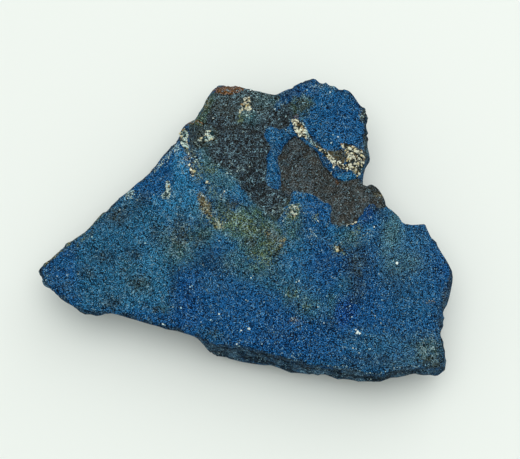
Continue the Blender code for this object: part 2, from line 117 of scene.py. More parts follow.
# The wall, station by station: the outline's point nearest (u, v), the height where the wall is
# widest, how far the rim of the top face lies inside that contour, and how far the foot does.
WALL = [
    # u, v, widest, rim inset, foot inset
    (38.5, 271.5, 7.0, 0.35, 2.6),
    (52, 258, 6.9, 0.45, 1.6),
    (88, 229, 7.1, 0.45, 1.5),
    (119, 198, 7.2, 0.40, 1.5),
    (150, 171, 7.5, 0.30, 1.4),
    (180, 134, 7.4, 0.35, 1.3),
    (190, 122, 7.0, 0.85, 1.3),
    (200, 112, 6.7, 1.10, 1.2),
    (212, 91, 6.6, 1.20, 1.0),
    (230, 86, 6.8, 1.20, 1.0),
    (246, 88.5, 7.4, 0.65, 1.0),
    (256, 91, 8.0, 0.30, 1.0),
    (276, 95, 8.0, 0.25, 1.2),
    (313, 79, 8.1, 0.25, 1.4),
    (344, 90, 8.0, 0.30, 1.4),
    (360, 105.5, 7.4, 0.35, 1.4),
    (368, 113, 6.0, 0.50, 1.4),
    (369, 136, 5.0, 0.70, 1.3),
    (369, 156, 5.2, 0.45, 1.3),
    (363.5, 183, 6.6, 0.25, 1.2),
    (376, 187, 6.6, 0.50, 1.0),
    (386, 205, 6.5, 0.50, 1.0),
    (391, 209.5, 7.6, 0.30, 1.2),
    (404, 224, 8.2, 0.25, 1.3),
    (425, 225, 8.2, 0.30, 1.4),
    (440, 250, 7.2, 0.45, 1.5),
    (452.5, 277, 6.0, 0.60, 1.5),
    (447, 305, 4.8, 0.80, 1.3),
    (441, 331, 4.6, 0.80, 1.2),
    (446, 361, 5.0, 0.60, 1.2),
    (440, 374, 5.2, 0.40, 1.5),
    (430, 375, 5.4, 0.25, 1.7),
    (410, 374.5, 5.0, 0.26, 1.8),
    (391, 377.8, 5.8, 0.25, 1.9),
    (374, 381.8, 5.6, 0.28, 1.9),
    (363, 381.5, 5.0, 0.40, 1.6),
    (350, 379.7, 3.9, 0.45, 1.2),
    (333, 377.5, 3.8, 0.52, 1.1),
    (313, 374, 4.4, 0.40, 1.2),
    (291, 373, 2.7, 0.55, 0.8),
    (264, 365.3, 3.0, 0.58, 0.8),
    (242, 362, 1.7, 0.72, 0.5),
    (226, 357, 2.2, 0.55, 0.6),
    (212, 354, 3.2, 0.42, 0.9),
    (204, 345.5, 5.4, 0.20, 2.0),
    (190, 335, 7.0, 0.15, 2.8),
    (150, 324.5, 7.0, 0.15, 3.0),
    (105, 314, 6.9, 0.15, 3.0),
    (76, 308.5, 6.8, 0.20, 2.8),
    (50, 288.5, 6.8, 0.25, 2.7),
]

# Swells (+) and hollows (-) of the top face: u, v, radius along u, radius along v, height.
SWELLS = [
    (300, 300, 110, 55, 0.55),
    (400, 285, 45, 70, 0.35),
    (362, 275, 13, 38, -0.38),
    (215, 245, 32, 24, -0.45),
    (173, 275, 8, 60, -0.28),
    (110, 265, 50, 40, 0.18),
    (238, 140, 30, 42, -0.35),
    (330, 110, 30, 26, 0.30),
    (262, 235, 34, 22, 0.25),
    (352, 158, 15, 13, 0.35),
    (430, 355, 22, 20, -0.45),
    (220, 330, 30, 14, -0.20),
]

BARE_EDGE = 0.45  # width of the crust's broken edge round it

# The underside's broken facets: a line through (x, y) whose rise grows along (dx, dy) at a slope.
# What lies inside all the lines is the flat resting facet, about 20 x 18 mm, under the centre of mass.
FACETS = [
    (-5.5, -2.0, -0.96, -0.28, 0.20),
    (-15.0, 1.0, -0.80, -0.60, 0.12),
    (-3.0, 6.5, -0.45, 0.89, 0.14),
    (9.0, 8.0, 0.35, 0.94, 0.13),
    (15.0, -2.0, 0.97, 0.26, 0.11),
    (2.0, -13.5, 0.18, -0.98, 0.14),
    (17.5, -12.0, 0.75, -0.66, 0.22),
    (20.0, 4.0, 0.70, 0.71, 0.20),
]

# Chips broken off the lower edge: a plane through the outline's point (u, v) at a height, facing
# outwards at a heading (degrees from +X) and downwards at a dip. What lies beyond it is gone, near
# that point: the plane bows outwards along the edge, so each chip dies out to both sides.
CHIPS = [
    (60, 250, 5.6, 128, 48),
    (100, 215, 4.6, 140, 34),
    (140, 181, 5.2, 131, 45),
    (172, 145, 3.6, 140, 30),
    (201, 108, 4.4, 150, 41),
    (228, 86, 3.2, 88, 33),
    (262, 92, 4.8, 104, 44),
    (300, 84, 4.2, 62, 36),
    (338, 88, 5.0, 98, 42),
    (364, 108, 3.4, 38, 38),
    (369, 146, 2.8, 2, 30),
    (410, 224, 5.0, 82, 40),
    (436, 242, 3.6, 48, 32),
    (452, 277, 3.4, 12, 42),
    (446, 308, 2.2, -14, 26),
    (442, 335, 2.8, 6, 38),
    (446, 365, 3.2, -24, 34),
    (412, 375, 3.6, -78, 36),
    (378, 381, 4.4, -98, 42),
    (345, 379, 2.2, -84, 28),
    (300, 373, 1.6, -96, 24),
    (256, 364, 1.7, -108, 30),
    (170, 330, 5.8, -96, 50),
    (118, 315, 5.4, -108, 44),
    (70, 304, 5.6, -112, 52),
]

# The bare patch of brown rock, as the crust's broken edge follows it.
BARE_PATCH = [
    (281, 152), (283, 146), (289, 140), (295, 136), (301, 139), (306, 143), (308, 146), (313, 148),
    (318, 152), (320, 158), (323, 165), (329, 171), (334, 177), (341, 181), (350, 181), (357, 178.5),
    (362, 182), (364, 188), (368, 186), (372, 183), (378, 187), (384, 193), (387, 200), (387, 206),
    (382, 209), (377, 208), (374, 204), (369, 205), (365, 208), (362, 214), (358, 219), (354, 223),
    (348, 225.5), (341, 227), (335, 226), (331, 223), (330, 216), (332, 210), (331, 204), (326, 202.5),
    (320, 199), (313, 195), (306, 193), (299, 191.5), (293, 191), (290, 196), (284, 194), (281, 187),
    (281, 179), (280, 170), (278, 163), (277, 157),
]
BARE_DEPTH = 0.55
BARE_EDGE = 0.26

# The grey crystalline rock beside it, which lies a little lower than the crust too.
GREY_PATCH = [
    (204, 84), (222, 80), (240, 82), (250, 84), (262, 86), (270, 89), (276, 92), (280, 98),
    (276, 103), (272, 107), (277, 111), (284, 104), (292, 102), (298, 108), (296, 114), (292, 120),
    (289, 126), (280, 130), (272, 127), (266, 129), (264, 134), (267, 141), (271, 147), (268, 152),
    (265, 158), (267, 165), (267, 172), (265, 178), (267, 184), (272, 188), (279, 189), (281, 180),
    (285, 183), (291, 186), (292, 194), (291, 200), (288, 204), (283, 208), (284, 213), (280, 218),
    (275, 222), (271, 219), (266, 213), (258, 207), (251, 200), (247, 194), (243, 189), (237, 181),
    (233, 177), (226, 171), (219, 168), (212, 166), (205, 165), (201, 158), (202, 150), (206, 144),
    (213, 141), (216, 134), (210, 128), (198, 124), (188, 121), (192, 112), (198, 98),
]
GREY_DEPTH = 0.16

# ---------------------------------------------------------------- colours
# Each colour as it looks in plain daylight, red, green and blue from 0 to 255.
COLOURS = {
    "navy": (6, 34, 60),
    "blue": (8, 75, 126),
    "bright": (22, 107, 158),
    "royal": (3, 57, 126),
    "azure": (40, 114, 158),
    "cyan": (40, 102, 134),
    "sky": (60, 104, 128),
    "slate": (36, 53, 66),
    "teal": (44, 88, 96),
    "pale_teal": (70, 110, 116),
    "moss": (70, 94, 68),
    "olive": (84, 94, 56),
    "umber": (54, 58, 46),
    "ash": (74, 81, 76),
    "tan": (128, 116, 80),
    "rust": (132, 86, 32),
    "cream": (222, 224, 204),
    "frost": (186, 210, 202),
    "grey": (45, 50, 52),
    "grey_pale": (120, 130, 132),
    "brown": (72, 71, 66),
    "brown_dark": (53, 54, 51),
    "speck": (16, 32, 40),
    # the colour of the painted glints on the grains
    "glint": (104, 160, 196),
    # the pale fibres' and flecks' colour, also used for painted glints and sparkles
    "pale_fibre_and_glint": (146, 188, 204),
    "wall": (42, 74, 100),
    "wall_dark": (15, 29, 41),
    "wall_pale": (98, 136, 162),
    "ochre": (76, 72, 50),
    # painted shade: the dark undercut under the near rim and the shaded wall below it
    "gap": (10, 18, 24),
    "broken": (40, 60, 72),
    "rim": (80, 84, 58),
}

# Closed figures: colour, strength, softness of the edge in steps, corners.
FIGURES = [
    # the gap figures paint shade on the near wall under the rim
    ("gap", 0.55, 1.5, [
        (376, 378), (383, 375.5), (392, 371.5), (400, 370), (412, 369), (419, 370), (428, 372), (436, 373),
        (443, 370), (448, 366), (454, 372), (442, 386), (380, 390)]),
    ("gap", 0.30, 1.5, [
        (204, 350), (218, 349), (230, 350), (243, 354), (267, 355), (282, 358.5), (300, 366), (296, 376),
        (240, 370), (206, 362)]),
    ("rim", 0.9, 3, [
        (36, 268), (50, 252), (66, 236), (84, 222), (96, 210), (108, 202), (112, 208), (104, 216),
        (94, 226), (82, 236), (70, 244), (58, 254), (48, 263), (40, 272)]),
    ("rim", 1.0, 4, [
        (180, 118), (190, 100), (200, 84), (208, 72), (246, 72), (250, 84), (243, 92), (232, 97),
        (222, 101), (216, 110), (212, 124), (204, 132), (188, 130)]),
    ("rim", 0.9, 3, [
        (360, 98), (378, 98), (380, 172), (366, 176), (363, 166), (364, 150), (362, 140), (362, 124),
        (363, 112)]),
    ("broken", 1.0, 2, [
        (206, 347), (218, 345.5), (227, 345.5), (238, 348), (243, 351), (250, 351.5), (267, 352.5),
        (280, 355.5), (293, 359), (300, 362.5), (307, 365.5), (317, 367.5), (325, 368.5), (338, 367.5),
        (350, 368.5), (357, 369.5), (363, 373.5), (370, 375.5), (376, 376.5), (383, 374.5), (392, 370.5),
        (400, 368.5), (412, 367.5), (419, 368.5), (428, 371), (436, 372), (443, 369), (450, 366),
        (452, 392), (200, 374), (198, 350)]),
    ("pale_fibre_and_glint", 0.28, 6, [
        (224, 212), (234, 212), (244, 216), (254, 222), (264, 221), (274, 222), (284, 234), (284, 246),
        (274, 244), (262, 236), (248, 235), (236, 231), (226, 224)]),
    ("pale_fibre_and_glint", 0.38, 4, [(262, 212), (270, 206), (282, 204), (298, 204), (299, 216), (288, 218), (272, 224)]),
    ("pale_fibre_and_glint", 0.8, 4, [(196, 194), (204, 194), (212, 204), (216, 218), (226, 228), (218, 230), (204, 216)]),
    ("azure", 0.20, 5, [
        (313, 108), (312, 116), (306, 121), (306, 125), (310, 130), (316, 137), (320, 143), (327, 148),
        (334, 149), (339, 148), (343, 143), (350, 143), (357, 145), (361, 138), (362, 128), (363, 120),
        (358, 108), (352, 99), (344, 94), (335, 91), (325, 87), (318, 89), (314, 98)]),
    ("azure", 1.0, 9, [
        (176, 146), (185, 150), (187, 165), (191, 180), (197, 190), (198, 200), (200, 214), (190, 217),
        (180, 214), (172, 222), (166, 214), (160, 206), (150, 204), (152, 196), (162, 200), (171, 197),
        (172, 180), (172, 165), (174, 156)]),
    ("azure", 0.35, 4, [
        (267, 129), (272, 127), (280, 131), (290, 127), (295, 130), (297, 134), (290, 137), (282, 141),
        (277, 146), (276, 151), (274, 157), (276, 163), (277, 170), (276, 177), (277, 183), (275, 186),
        (271, 185), (268, 182), (267, 177), (268, 170), (268, 164), (267, 158), (270, 152), (271, 146),
        (269, 141), (267, 136)]),
    ("azure", 0.22, 4, [
        (291, 195), (296, 192), (303, 193), (310, 194), (317, 198), (324, 202), (330, 205), (331, 212),
        (329, 220), (332, 228), (322, 232), (312, 226), (304, 216), (300, 207), (297, 202)]),
    ("azure", 0.75, 6, [
        (226, 176), (233, 178), (240, 184), (246, 194), (252, 202), (248, 206), (240, 200), (230, 194),
        (222, 188)]),
    ("azure", 0.7, 2, [(336, 173), (343, 174), (350, 172), (356, 176), (354, 180), (346, 182), (339, 179)]),
    ("cyan", 0.80, 18, [
        (92, 222), (130, 195), (165, 210), (172, 260), (168, 300), (120, 312), (82, 304), (78, 270),
        (75, 250)]),
    ("sky", 0.85, 3, [
        (243, 190), (249, 195), (255, 201), (262, 207), (268, 213), (271, 217), (267, 220), (260, 215),
        (252, 207), (246, 199)]),
    ("teal", 0.55, 7, [
        (192, 143), (200, 144), (208, 144), (210, 152), (212, 162), (220, 170), (232, 174), (238, 182),
        (228, 188), (215, 186), (205, 178), (200, 168), (194, 160), (190, 152)]),
    ("pale_teal", 0.55, 10, [
        (204, 160), (214, 164), (224, 168), (236, 176), (238, 186), (226, 190), (212, 188), (204, 176)]),
    ("moss", 0.90, 15, [
        (216, 222), (226, 220), (232, 212), (242, 205), (256, 208), (266, 216), (276, 222), (284, 232),
        (285, 246), (279, 255), (266, 260), (254, 257), (244, 251), (236, 240), (224, 234), (214, 226)]),
    ("moss", 0.75, 8, [
        (292, 98), (305, 94), (313, 97), (312, 108), (308, 116), (302, 119), (294, 113), (290, 106)]),
    ("umber", 0.70, 3, [(307, 131), (314, 138), (321, 145), (317, 148), (311, 144), (306, 139)]),
    ("umber", 0.75, 3, [(363, 144), (368, 148), (370, 158), (366, 163), (362, 156)]),
    ("ash", 0.75, 14, [
        (212, 90), (232, 92), (256, 92), (272, 96), (272, 108), (262, 116), (240, 120), (218, 118),
        (206, 112)]),
    ("moss", 0.70, 4, [
        (204, 82), (216, 90), (215, 99), (212, 106), (209, 115), (206, 124), (198, 125), (184, 121),
        (192, 108), (198, 98), (202, 90)]),
    ("umber", 1.0, 3, [
        (189, 123), (196, 121), (205, 122), (213, 126), (218, 132), (217, 141), (210, 146), (202, 149),
        (195, 150), (191, 143), (189, 134)]),
    ("slate", 0.9, 4, [(196, 122), (214, 126), (219, 134), (216, 144), (204, 152), (194, 150)]),
    ("rust", 1.60, 1.8, [
        (209, 76), (226, 76), (241, 79), (243, 90), (239, 92.5), (230, 94.5), (221, 93.5), (213, 92)]),
    ("cream", 0.92, 1.5, [
        (243, 98), (249, 97), (251, 102), (252, 109), (250, 112), (246, 111), (243, 109), (240, 113),
        (239, 110), (242, 104)]),
    ("pale_teal", 0.9, 3, [(242, 111), (250, 112), (254, 113), (252, 119), (246, 121), (240, 117)]),
    ("frost", 0.55, 3, [(242, 111), (250, 112), (254, 113), (252, 117), (246, 118), (240, 115)]),
    ("frost", 0.60, 2, [
        (207, 130), (212, 131), (215, 135), (213, 140), (208, 142), (203, 142), (198, 143), (197, 141),
        (202, 138), (204, 134)]),
    ("cream", 1.0, 2, [
        (207, 130), (212, 131), (215, 135), (213, 140), (208, 142), (203, 142), (198, 143), (197, 141),
        (202, 138), (204, 134)]),
    ("frost", 0.60, 1.5, [
        (181, 132), (185, 128), (187, 129), (188, 134), (187, 141), (190, 149), (190, 155), (187, 153),
        (184, 147), (181, 142), (179, 137)]),
    ("cream", 1.2, 1.5, [
        (181, 132), (185, 128), (187, 129), (188, 134), (187, 141), (190, 149), (190, 155), (187, 153),
        (184, 147), (181, 142), (179, 137)]),
    ("cream", 1.0, 2, [(189, 166), (193, 168), (194, 175), (192, 178), (190, 174)]),
    ("cream", 1.3, 1.5, [
        (292, 120), (299, 118.5), (304, 126), (308, 131), (307, 139), (303, 138), (297, 134.5), (293.5, 127)]),
    ("cream", 1.0, 1.5, [
        (341, 145), (345, 143), (350, 144), (356, 147), (361, 149), (363.5, 153), (364.5, 159), (363, 163),
        (363, 168), (361, 174), (358, 177), (354, 174), (349, 170), (346, 167), (345, 164), (346, 161),
        (348, 156), (345, 150)]),
    ("ochre", 0.95, 2, [
        (325, 149), (334, 151), (341, 148), (345, 150), (348, 156), (344, 163), (339, 163), (334, 158),
        (329, 153)]),
    ("olive", 0.60, 5, [(286, 203), (300, 201), (303, 210), (297, 220), (286, 217)]),
    ("frost", 0.40, 5, [(289, 205), (296, 202), (300, 206), (299, 213), (296, 217), (290, 214), (287, 211)]),
    ("cream", 0.66, 5, [
        (289, 205), (296, 202), (300, 206), (299, 213), (296, 217), (290, 214), (287, 211), (288, 208)]),
    ("frost", 0.85, 1.5, [(167, 180), (170, 181), (171, 190), (170, 199), (163, 199), (161, 196), (165, 188)]),
    ("cream", 0.72, 1.5, [(167, 180), (170, 181), (171, 190), (170, 199), (163, 199), (161, 196), (165, 188)]),
    ("cream", 0.80, 2.5, [(335, 246), (341, 246), (344, 250), (340, 254), (336, 252)]),
    ("frost", 0.62, 3.5, [
        (178, 140), (183, 146), (180, 151), (172, 156), (164, 163), (158, 169), (153, 173), (148, 172),
        (154, 166), (162, 158), (170, 148)]),
    ("frost", 0.55, 4, [(192, 150), (199, 153), (201, 160), (196, 166), (191, 160)]),
    ("frost", 1.0, 3, [(126, 190), (132, 188), (136, 193), (132, 199), (126, 199)]),
    ("frost", 0.45, 3, [(276, 99), (284, 97), (287, 104), (280, 110), (275, 107)]),
    ("frost", 0.25, 3, [(284, 127), (294, 125), (297, 132), (290, 136), (284, 133)]),
    ("frost", 0.5, 3, [(358, 112), (364, 109), (367, 113), (364, 119), (358, 118)]),
    ("frost", 0.65, 3, [(223, 171), (229, 170), (233, 173), (231, 177), (226, 175)]),
    ("frost", 0.6, 2, [(246, 164), (249, 164), (251, 169), (248, 171)]),
]

# Soft clouds: colour, strength, middle (u, v), radii, tilt in degrees.
CLOUDS = [
    ("frost", 0.42, 137, 199, 6, 4, -40),
    # the gap clouds on this line paint shade on the near wall under the rim
    ("gap", 0.50, 428, 373, 11, 5, 0), ("gap", 0.50, 400, 374, 12, 4, 0), ("gap", 0.35, 234, 358, 9, 4, 10),
    ("speck", 0.55, 447, 294, 6, 10, 0), ("speck", 0.50, 241, 170, 8, 7, 0), ("speck", 0.45, 250, 182, 7, 7, 0),
    ("speck", 0.40, 265, 174, 6, 8, 0), ("speck", 0.50, 314, 146, 5, 4, 30), ("speck", 0.35, 294, 190, 7, 4, 0),
    ("speck", 0.45, 273, 209, 7, 5, 0), ("speck", 0.50, 222, 267, 9, 7, 0), ("speck", 0.45, 296, 143, 6, 6, 0),
    ("speck", 0.40, 172, 251, 7, 8, 0), ("speck", 0.40, 98, 223, 9, 6, -30), ("speck", 0.35, 424, 231, 8, 9, 0),
    ("navy", 0.50, 330, 86, 15, 5, 5), ("navy", 0.40, 354, 99, 8, 6, 45), ("navy", 0.45, 171, 308, 8, 9, 0),
    ("navy", 0.40, 356, 339, 15, 6, 5), ("navy", 0.40, 378, 359, 18, 4, 0), ("navy", 0.30, 393, 263, 9, 9, 0),
    ("umber", 0.50, 365, 152, 4, 7, 0), ("azure", 0.50, 207, 185, 7, 8, 0), ("azure", 0.50, 90, 307, 12, 6, 10),
    ("frost", 0.35, 196, 145, 4, 5, 0), ("ash", 0.40, 233, 127, 8, 6, 0), ("moss", 0.35, 274, 236, 7, 7, 0),
    ("speck", 0.55, 232, 204, 4, 4, 0), ("speck", 0.5, 251, 243, 5, 4, 0), ("speck", 0.5, 276, 251, 5, 5, 0),
    ("navy", 0.5, 221, 212, 5, 6, 0), ("navy", 0.35, 211, 250, 7, 6, 0), ("slate", 0.35, 295, 158, 8, 9, 0),
    ("azure", 0.70, 190, 187, 12, 16, 0), ("azure", 0.65, 100, 297, 20, 11, 10), ("umber", 0.55, 194, 160, 5, 14, 0),
    ("olive", 0.40, 198, 172, 8, 10, 0), ("speck", 0.5, 295, 160, 10, 12, 0), ("speck", 0.6, 256, 176, 10, 12, 0),
    ("speck", 0.4, 264, 230, 16, 12, 20), ("speck", 0.4, 226, 206, 10, 8, 0),
    ("speck", 0.55, 248, 190, 14, 14, 30), ("speck", 0.55, 286, 166, 7, 20, 0), ("speck", 0.5, 355, 158, 9, 12, 0),
    ("tan", 0.30, 187, 158, 5, 9, 0), ("speck", 0.5, 270, 212, 10, 8, 0), ("speck", 0.35, 240, 100, 24, 12, 0),
    ("umber", 0.70, 302, 105, 9, 9, 0), ("slate", 0.6, 288, 92, 12, 6, -20), ("navy", 0.5, 286, 131, 9, 4, 0),
    ("slate", 0.5, 273, 149, 4, 7, 0), ("navy", 0.5, 278, 160, 2.5, 12, 0), ("slate", 0.4, 272, 184, 5, 5, 0),
    ("umber", 0.9, 334, 155, 9, 6, 20), ("azure", 0.30, 83, 290, 14, 10, 20), ("cyan", 0.3, 60, 280, 12, 6, 0),
    ("pale_fibre_and_glint", 0.5, 221, 197, 4, 7, 15), ("pale_fibre_and_glint", 0.5, 180, 240, 8, 14, 0), ("pale_fibre_and_glint", 0.5, 340, 249, 8, 6, 0),
    ("pale_fibre_and_glint", 0.5, 362, 236, 12, 4, -20), ("pale_fibre_and_glint", 0.5, 312, 232, 5, 8, 0), ("pale_fibre_and_glint", 0.6, 184, 160, 7, 14, 20),
    ("pale_fibre_and_glint", 0.4, 430, 345, 14, 12, 0), ("azure", 0.35, 102, 296, 16, 9, 10),
    ("olive", 0.55, 232, 217, 16, 8, 30), ("moss", 0.50, 222, 205, 12, 10, 0), ("olive", 0.40, 212, 190, 8, 8, 0),
    ("moss", 0.45, 204, 232, 12, 8, 0), ("olive", 0.15, 186, 232, 8, 8, 0), ("slate", 0.8, 118, 214, 14, 9, -20),
    ("umber", 0.5, 118, 214, 9, 6, -20), ("umber", 0.35, 104, 258, 7, 4, 0), ("umber", 0.4, 138, 282, 6, 5, 0),
    ("umber", 0.35, 134, 253, 6, 4, 0), ("umber", 0.4, 356, 268, 6, 12, 0), ("pale_fibre_and_glint", 0.4, 268, 96, 20, 8, 0), ("pale_fibre_and_glint", 0.4, 236, 170, 8, 6, 0),
    ("pale_fibre_and_glint", 0.4, 318, 86, 20, 6, 0), ("pale_fibre_and_glint", 0.15, 205, 238, 8, 10, 0),
    ("ochre", 0.90, 204, 205, 4.5, 11, -25), ("tan", 0.50, 203, 203, 3.5, 10, -25),
    ("olive", 0.80, 218, 223, 8, 4, 40), ("umber", 0.75, 251, 243, 6, 5, 0), ("umber", 0.6, 276, 251, 7, 5, 0),
    ("navy", 0.55, 259, 214, 7, 4, 40), ("umber", 0.6, 232, 204, 6, 4, 0),
    ("slate", 0.70, 434, 357, 15, 14, 0), ("slate", 0.45, 385, 363, 45, 7, 3), ("umber", 0.6, 434, 362, 12, 9, 0),
    ("umber", 1.2, 368, 114, 5.5, 9, 8), ("umber", 1.3, 369.5, 140, 5.5, 22, 0), ("slate", 1.0, 369, 155, 5, 14, 0),
    ("olive", 0.5, 371, 122, 4, 8, 0), ("moss", 0.9, 200, 104, 7, 20, 25), ("olive", 0.5, 206, 96, 5, 12, 25),
    ("royal", 0.30, 58, 270, 22, 20, -30), ("royal", 0.45, 186, 302, 14, 30, 10),
    ("royal", 0.30, 262, 322, 70, 30, 5), ("royal", 0.35, 315, 272, 32, 30, 0),
    ("royal", 0.95, 345, 311, 12, 17, 10), ("royal", 0.85, 368, 214, 5, 12, 10),
    ("royal", 0.55, 318, 210, 12, 12, 20), ("royal", 1.00, 211, 249, 9, 6, 0),
    ("royal", 0.25, 375, 300, 30, 24, 0), ("royal", 0.30, 345, 122, 16, 22, 0),
    ("royal", 0.25, 445, 265, 9, 24, 15), ("royal", 0.45, 290, 92, 14, 7, -20),
    ("royal", 0.35, 185, 318, 22, 10, 10), ("royal", 0.40, 343, 322, 16, 12, 0),
    ("navy", 0.90, 356, 301, 8, 3.2, 0), ("navy", 0.70, 210, 262, 17, 9, 0),
    ("navy", 0.50, 203, 233, 7, 9, 0), ("navy", 0.25, 326, 265, 7, 11, 10),
    ("navy", 0.55, 173, 288, 3.5, 15, 8), ("navy", 0.35, 191, 292, 6, 5, 0),
    ("navy", 0.35, 283, 334, 13, 6, 10), ("navy", 0.60, 330, 327, 9, 6, 20),
    ("navy", 0.50, 60, 287, 10, 3, 0), ("navy", 0.40, 333, 317, 4, 4, 0),
    ("navy", 0.60, 325, 163, 7, 6, 30), ("navy", 0.85, 340, 170, 7, 3, 15),
    ("navy", 0.30, 318, 208, 4, 10, 0), ("navy", 0.35, 47, 267, 6, 5, -30),
    ("navy", 0.60, 219, 209, 7, 6, 0), ("navy", 0.35, 224, 262, 10, 8, 0),
    ("navy", 0.55, 358, 288, 8, 10, 0), ("navy", 0.25, 100, 300, 24, 8, 20),
    ("slate", 0.75, 358, 262, 12, 22, 4), ("slate", 0.55, 356, 288, 9, 12, 0),
    ("slate", 0.85, 119, 214, 13, 10, -20), ("slate", 0.60, 282, 116, 10, 14, 20),
    ("slate", 0.55, 441, 318, 5, 24, 0), ("slate", 0.50, 155, 233, 6, 14, -15),
    ("slate", 0.50, 164, 236, 5, 9, 0), ("slate", 0.45, 139, 203, 10, 6, -20),
    ("slate", 0.45, 96, 226, 14, 5, -42), ("slate", 0.50, 133, 254, 10, 7, 0),
    ("slate", 0.55, 104, 257, 13, 6, 0), ("slate", 0.50, 88, 271, 9, 6, 0),
    ("slate", 0.65, 138, 283, 11, 8, 0), ("slate", 0.60, 110, 301, 9, 8, 30),
    ("umber", 0.75, 369, 122, 4, 9, 8), ("umber", 0.80, 370, 145, 4.5, 16, 0), ("slate", 0.70, 365, 135, 3, 20, 0), ("umber", 0.6, 364, 108, 4, 4, 0), ("slate", 0.35, 182, 214, 7, 9, 20),
    ("slate", 0.75, 378, 211, 6, 5, 0), ("slate", 0.25, 400, 282, 16, 20, 0),
    ("slate", 0.40, 412, 265, 9, 7, 0), ("slate", 0.40, 145, 196, 8, 5, -20),
    ("sky", 0.30, 418, 250, 16, 26, -20), ("sky", 0.45, 316, 235, 9, 5, 30),
    ("sky", 0.40, 400, 347, 36, 15, 0), ("sky", 0.15, 430, 352, 16, 14, 0),
    ("sky", 0.30, 215, 285, 16, 8, 10), ("sky", 0.40, 46, 279, 5, 7, 0),
    ("sky", 0.45, 115, 216, 14, 12, 0), ("sky", 0.30, 70, 290, 12, 5, 20),
    ("azure", 0.50, 92, 243, 6, 6, 0), ("azure", 0.60, 124, 203, 8, 6, -20),
    ("azure", 0.45, 146, 228, 8, 9, 0), ("azure", 0.55, 154, 263, 14, 14, 0),
    ("azure", 0.65, 131, 301, 12, 9, 0), ("azure", 0.50, 342, 233, 14, 8, 0),
    ("azure", 0.40, 369, 229, 6, 8, 0), ("navy", 0.35, 366, 218, 6, 10, 10), ("azure", 0.85, 285, 177, 4, 5, 0),
    ("azure", 0.15, 240, 315, 40, 22, 0), ("azure", 0.80, 232, 232, 10, 8, 0),
    ("azure", 0.35, 292, 262, 14, 16, 0), ("azure", 0.40, 415, 238, 12, 9, 0),
    ("azure", 0.40, 155, 287, 14, 18, 0), ("azure", 0.70, 310, 142, 3.5, 3, 0),
    ("azure", 0.80, 362, 175, 2, 9, 3), ("azure", 0.60, 329, 90, 8, 6, 0),
    ("azure", 0.30, 348, 93, 8, 5, 20), ("azure", 0.40, 120, 283, 12, 10, 0),
    ("cyan", 0.60, 150, 245, 18, 34, 0), ("cyan", 0.60, 132, 296, 32, 14, 0),
    ("cyan", 0.45, 226, 192, 12, 8, 0), ("cyan", 0.50, 236, 252, 18, 14, 0),
    ("cyan", 0.50, 352, 236, 18, 9, 0), ("cyan", 0.45, 300, 250, 16, 14, 0),
    ("cyan", 0.35, 62, 264, 12, 6, -30), ("cyan", 0.45, 180, 200, 14, 20, 0),
    ("cyan", 0.35, 410, 300, 30, 26, 0), ("cyan", 0.45, 372, 345, 30, 14, 0),
    ("cyan", 0.40, 300, 285, 30, 20, 0), ("cyan", 0.40, 215, 245, 40, 20, 0),
    ("cyan", 0.40, 338, 288, 8, 12, 0),
    ("pale_teal", 1.00, 392, 234, 11, 27, 10), ("pale_teal", 0.65, 400, 262, 18, 14, 0),
    ("pale_teal", 0.20, 428, 350, 18, 15, 0), ("slate", 0.50, 432, 352, 14, 14, 0), ("pale_teal", 0.55, 214, 194, 8, 6, 0),
    ("pale_teal", 0.35, 415, 362, 30, 6, -5), ("pale_teal", 0.40, 386, 268, 10, 16, 0),
    ("teal", 0.65, 258, 268, 24, 16, 0), ("teal", 0.40, 220, 209, 8, 7, 0),
    ("teal", 0.40, 345, 240, 18, 9, 0), ("teal", 0.60, 312, 308, 16, 12, 0),
    ("teal", 0.50, 275, 282, 22, 10, 5), ("teal", 0.65, 178, 256, 15, 14, 0),
    ("teal", 0.65, 290, 292, 9, 12, 0), ("teal", 0.65, 331, 304, 5, 13, 0),
    ("teal", 0.50, 250, 119, 8, 6, 0), ("teal", 0.50, 200, 152, 8, 10, 0),
    ("teal", 0.55, 290, 230, 12, 16, 0), ("teal", 0.60, 163, 306, 9, 7, 0),
    ("teal", 0.45, 212, 335, 12, 6, 15), ("teal", 0.40, 268, 100, 14, 8, 0),
    ("teal", 0.30, 330, 368, 60, 7, 2), ("teal", 0.50, 203, 238, 14, 12, 0),
    ("teal", 0.45, 126, 266, 10, 8, 0), ("teal", 0.40, 346, 284, 6, 10, 0),
    ("moss", 0.55, 292, 222, 11, 15, 0), ("moss", 0.40, 262, 268, 16, 8, 0),
    ("moss", 0.50, 180, 240, 16, 20, 0), ("moss", 0.45, 200, 218, 10, 14, 0), ("moss", 0.45, 350, 236, 9, 7, 0),
    ("moss", 0.45, 428, 350, 16, 12, 0), ("moss", 0.35, 138, 284, 11, 8, 0),
    ("moss", 0.22, 300, 300, 16, 12, 0), ("moss", 0.40, 242, 232, 30, 12, 20),
    ("umber", 0.60, 181, 236, 8, 13, 0), ("umber", 0.45, 197, 241, 7, 7, 0),
    ("umber", 0.85, 232, 204, 6, 5, 0), ("umber", 0.65, 273, 240, 8, 12, -15),
    ("umber", 0.35, 158, 310, 8, 4, 0), ("umber", 0.45, 374, 192, 10, 7, 40),
    ("umber", 0.45, 212, 333, 7, 5, 30), ("umber", 0.40, 303, 101, 8, 6, 0),
    ("umber", 0.45, 252, 244, 6, 9, 0), ("umber", 0.35, 372, 208, 5, 4, 0),
    ("olive", 0.30, 293, 293, 7, 9, 0), ("olive", 0.20, 305, 305, 9, 8, 0),
    ("olive", 0.50, 357, 229, 5, 5, 0), ("olive", 0.50, 339, 249, 8, 7, 0),
    ("olive", 0.50, 316, 217, 4, 4, 0), ("olive", 0.70, 217, 222, 7, 6, 0),
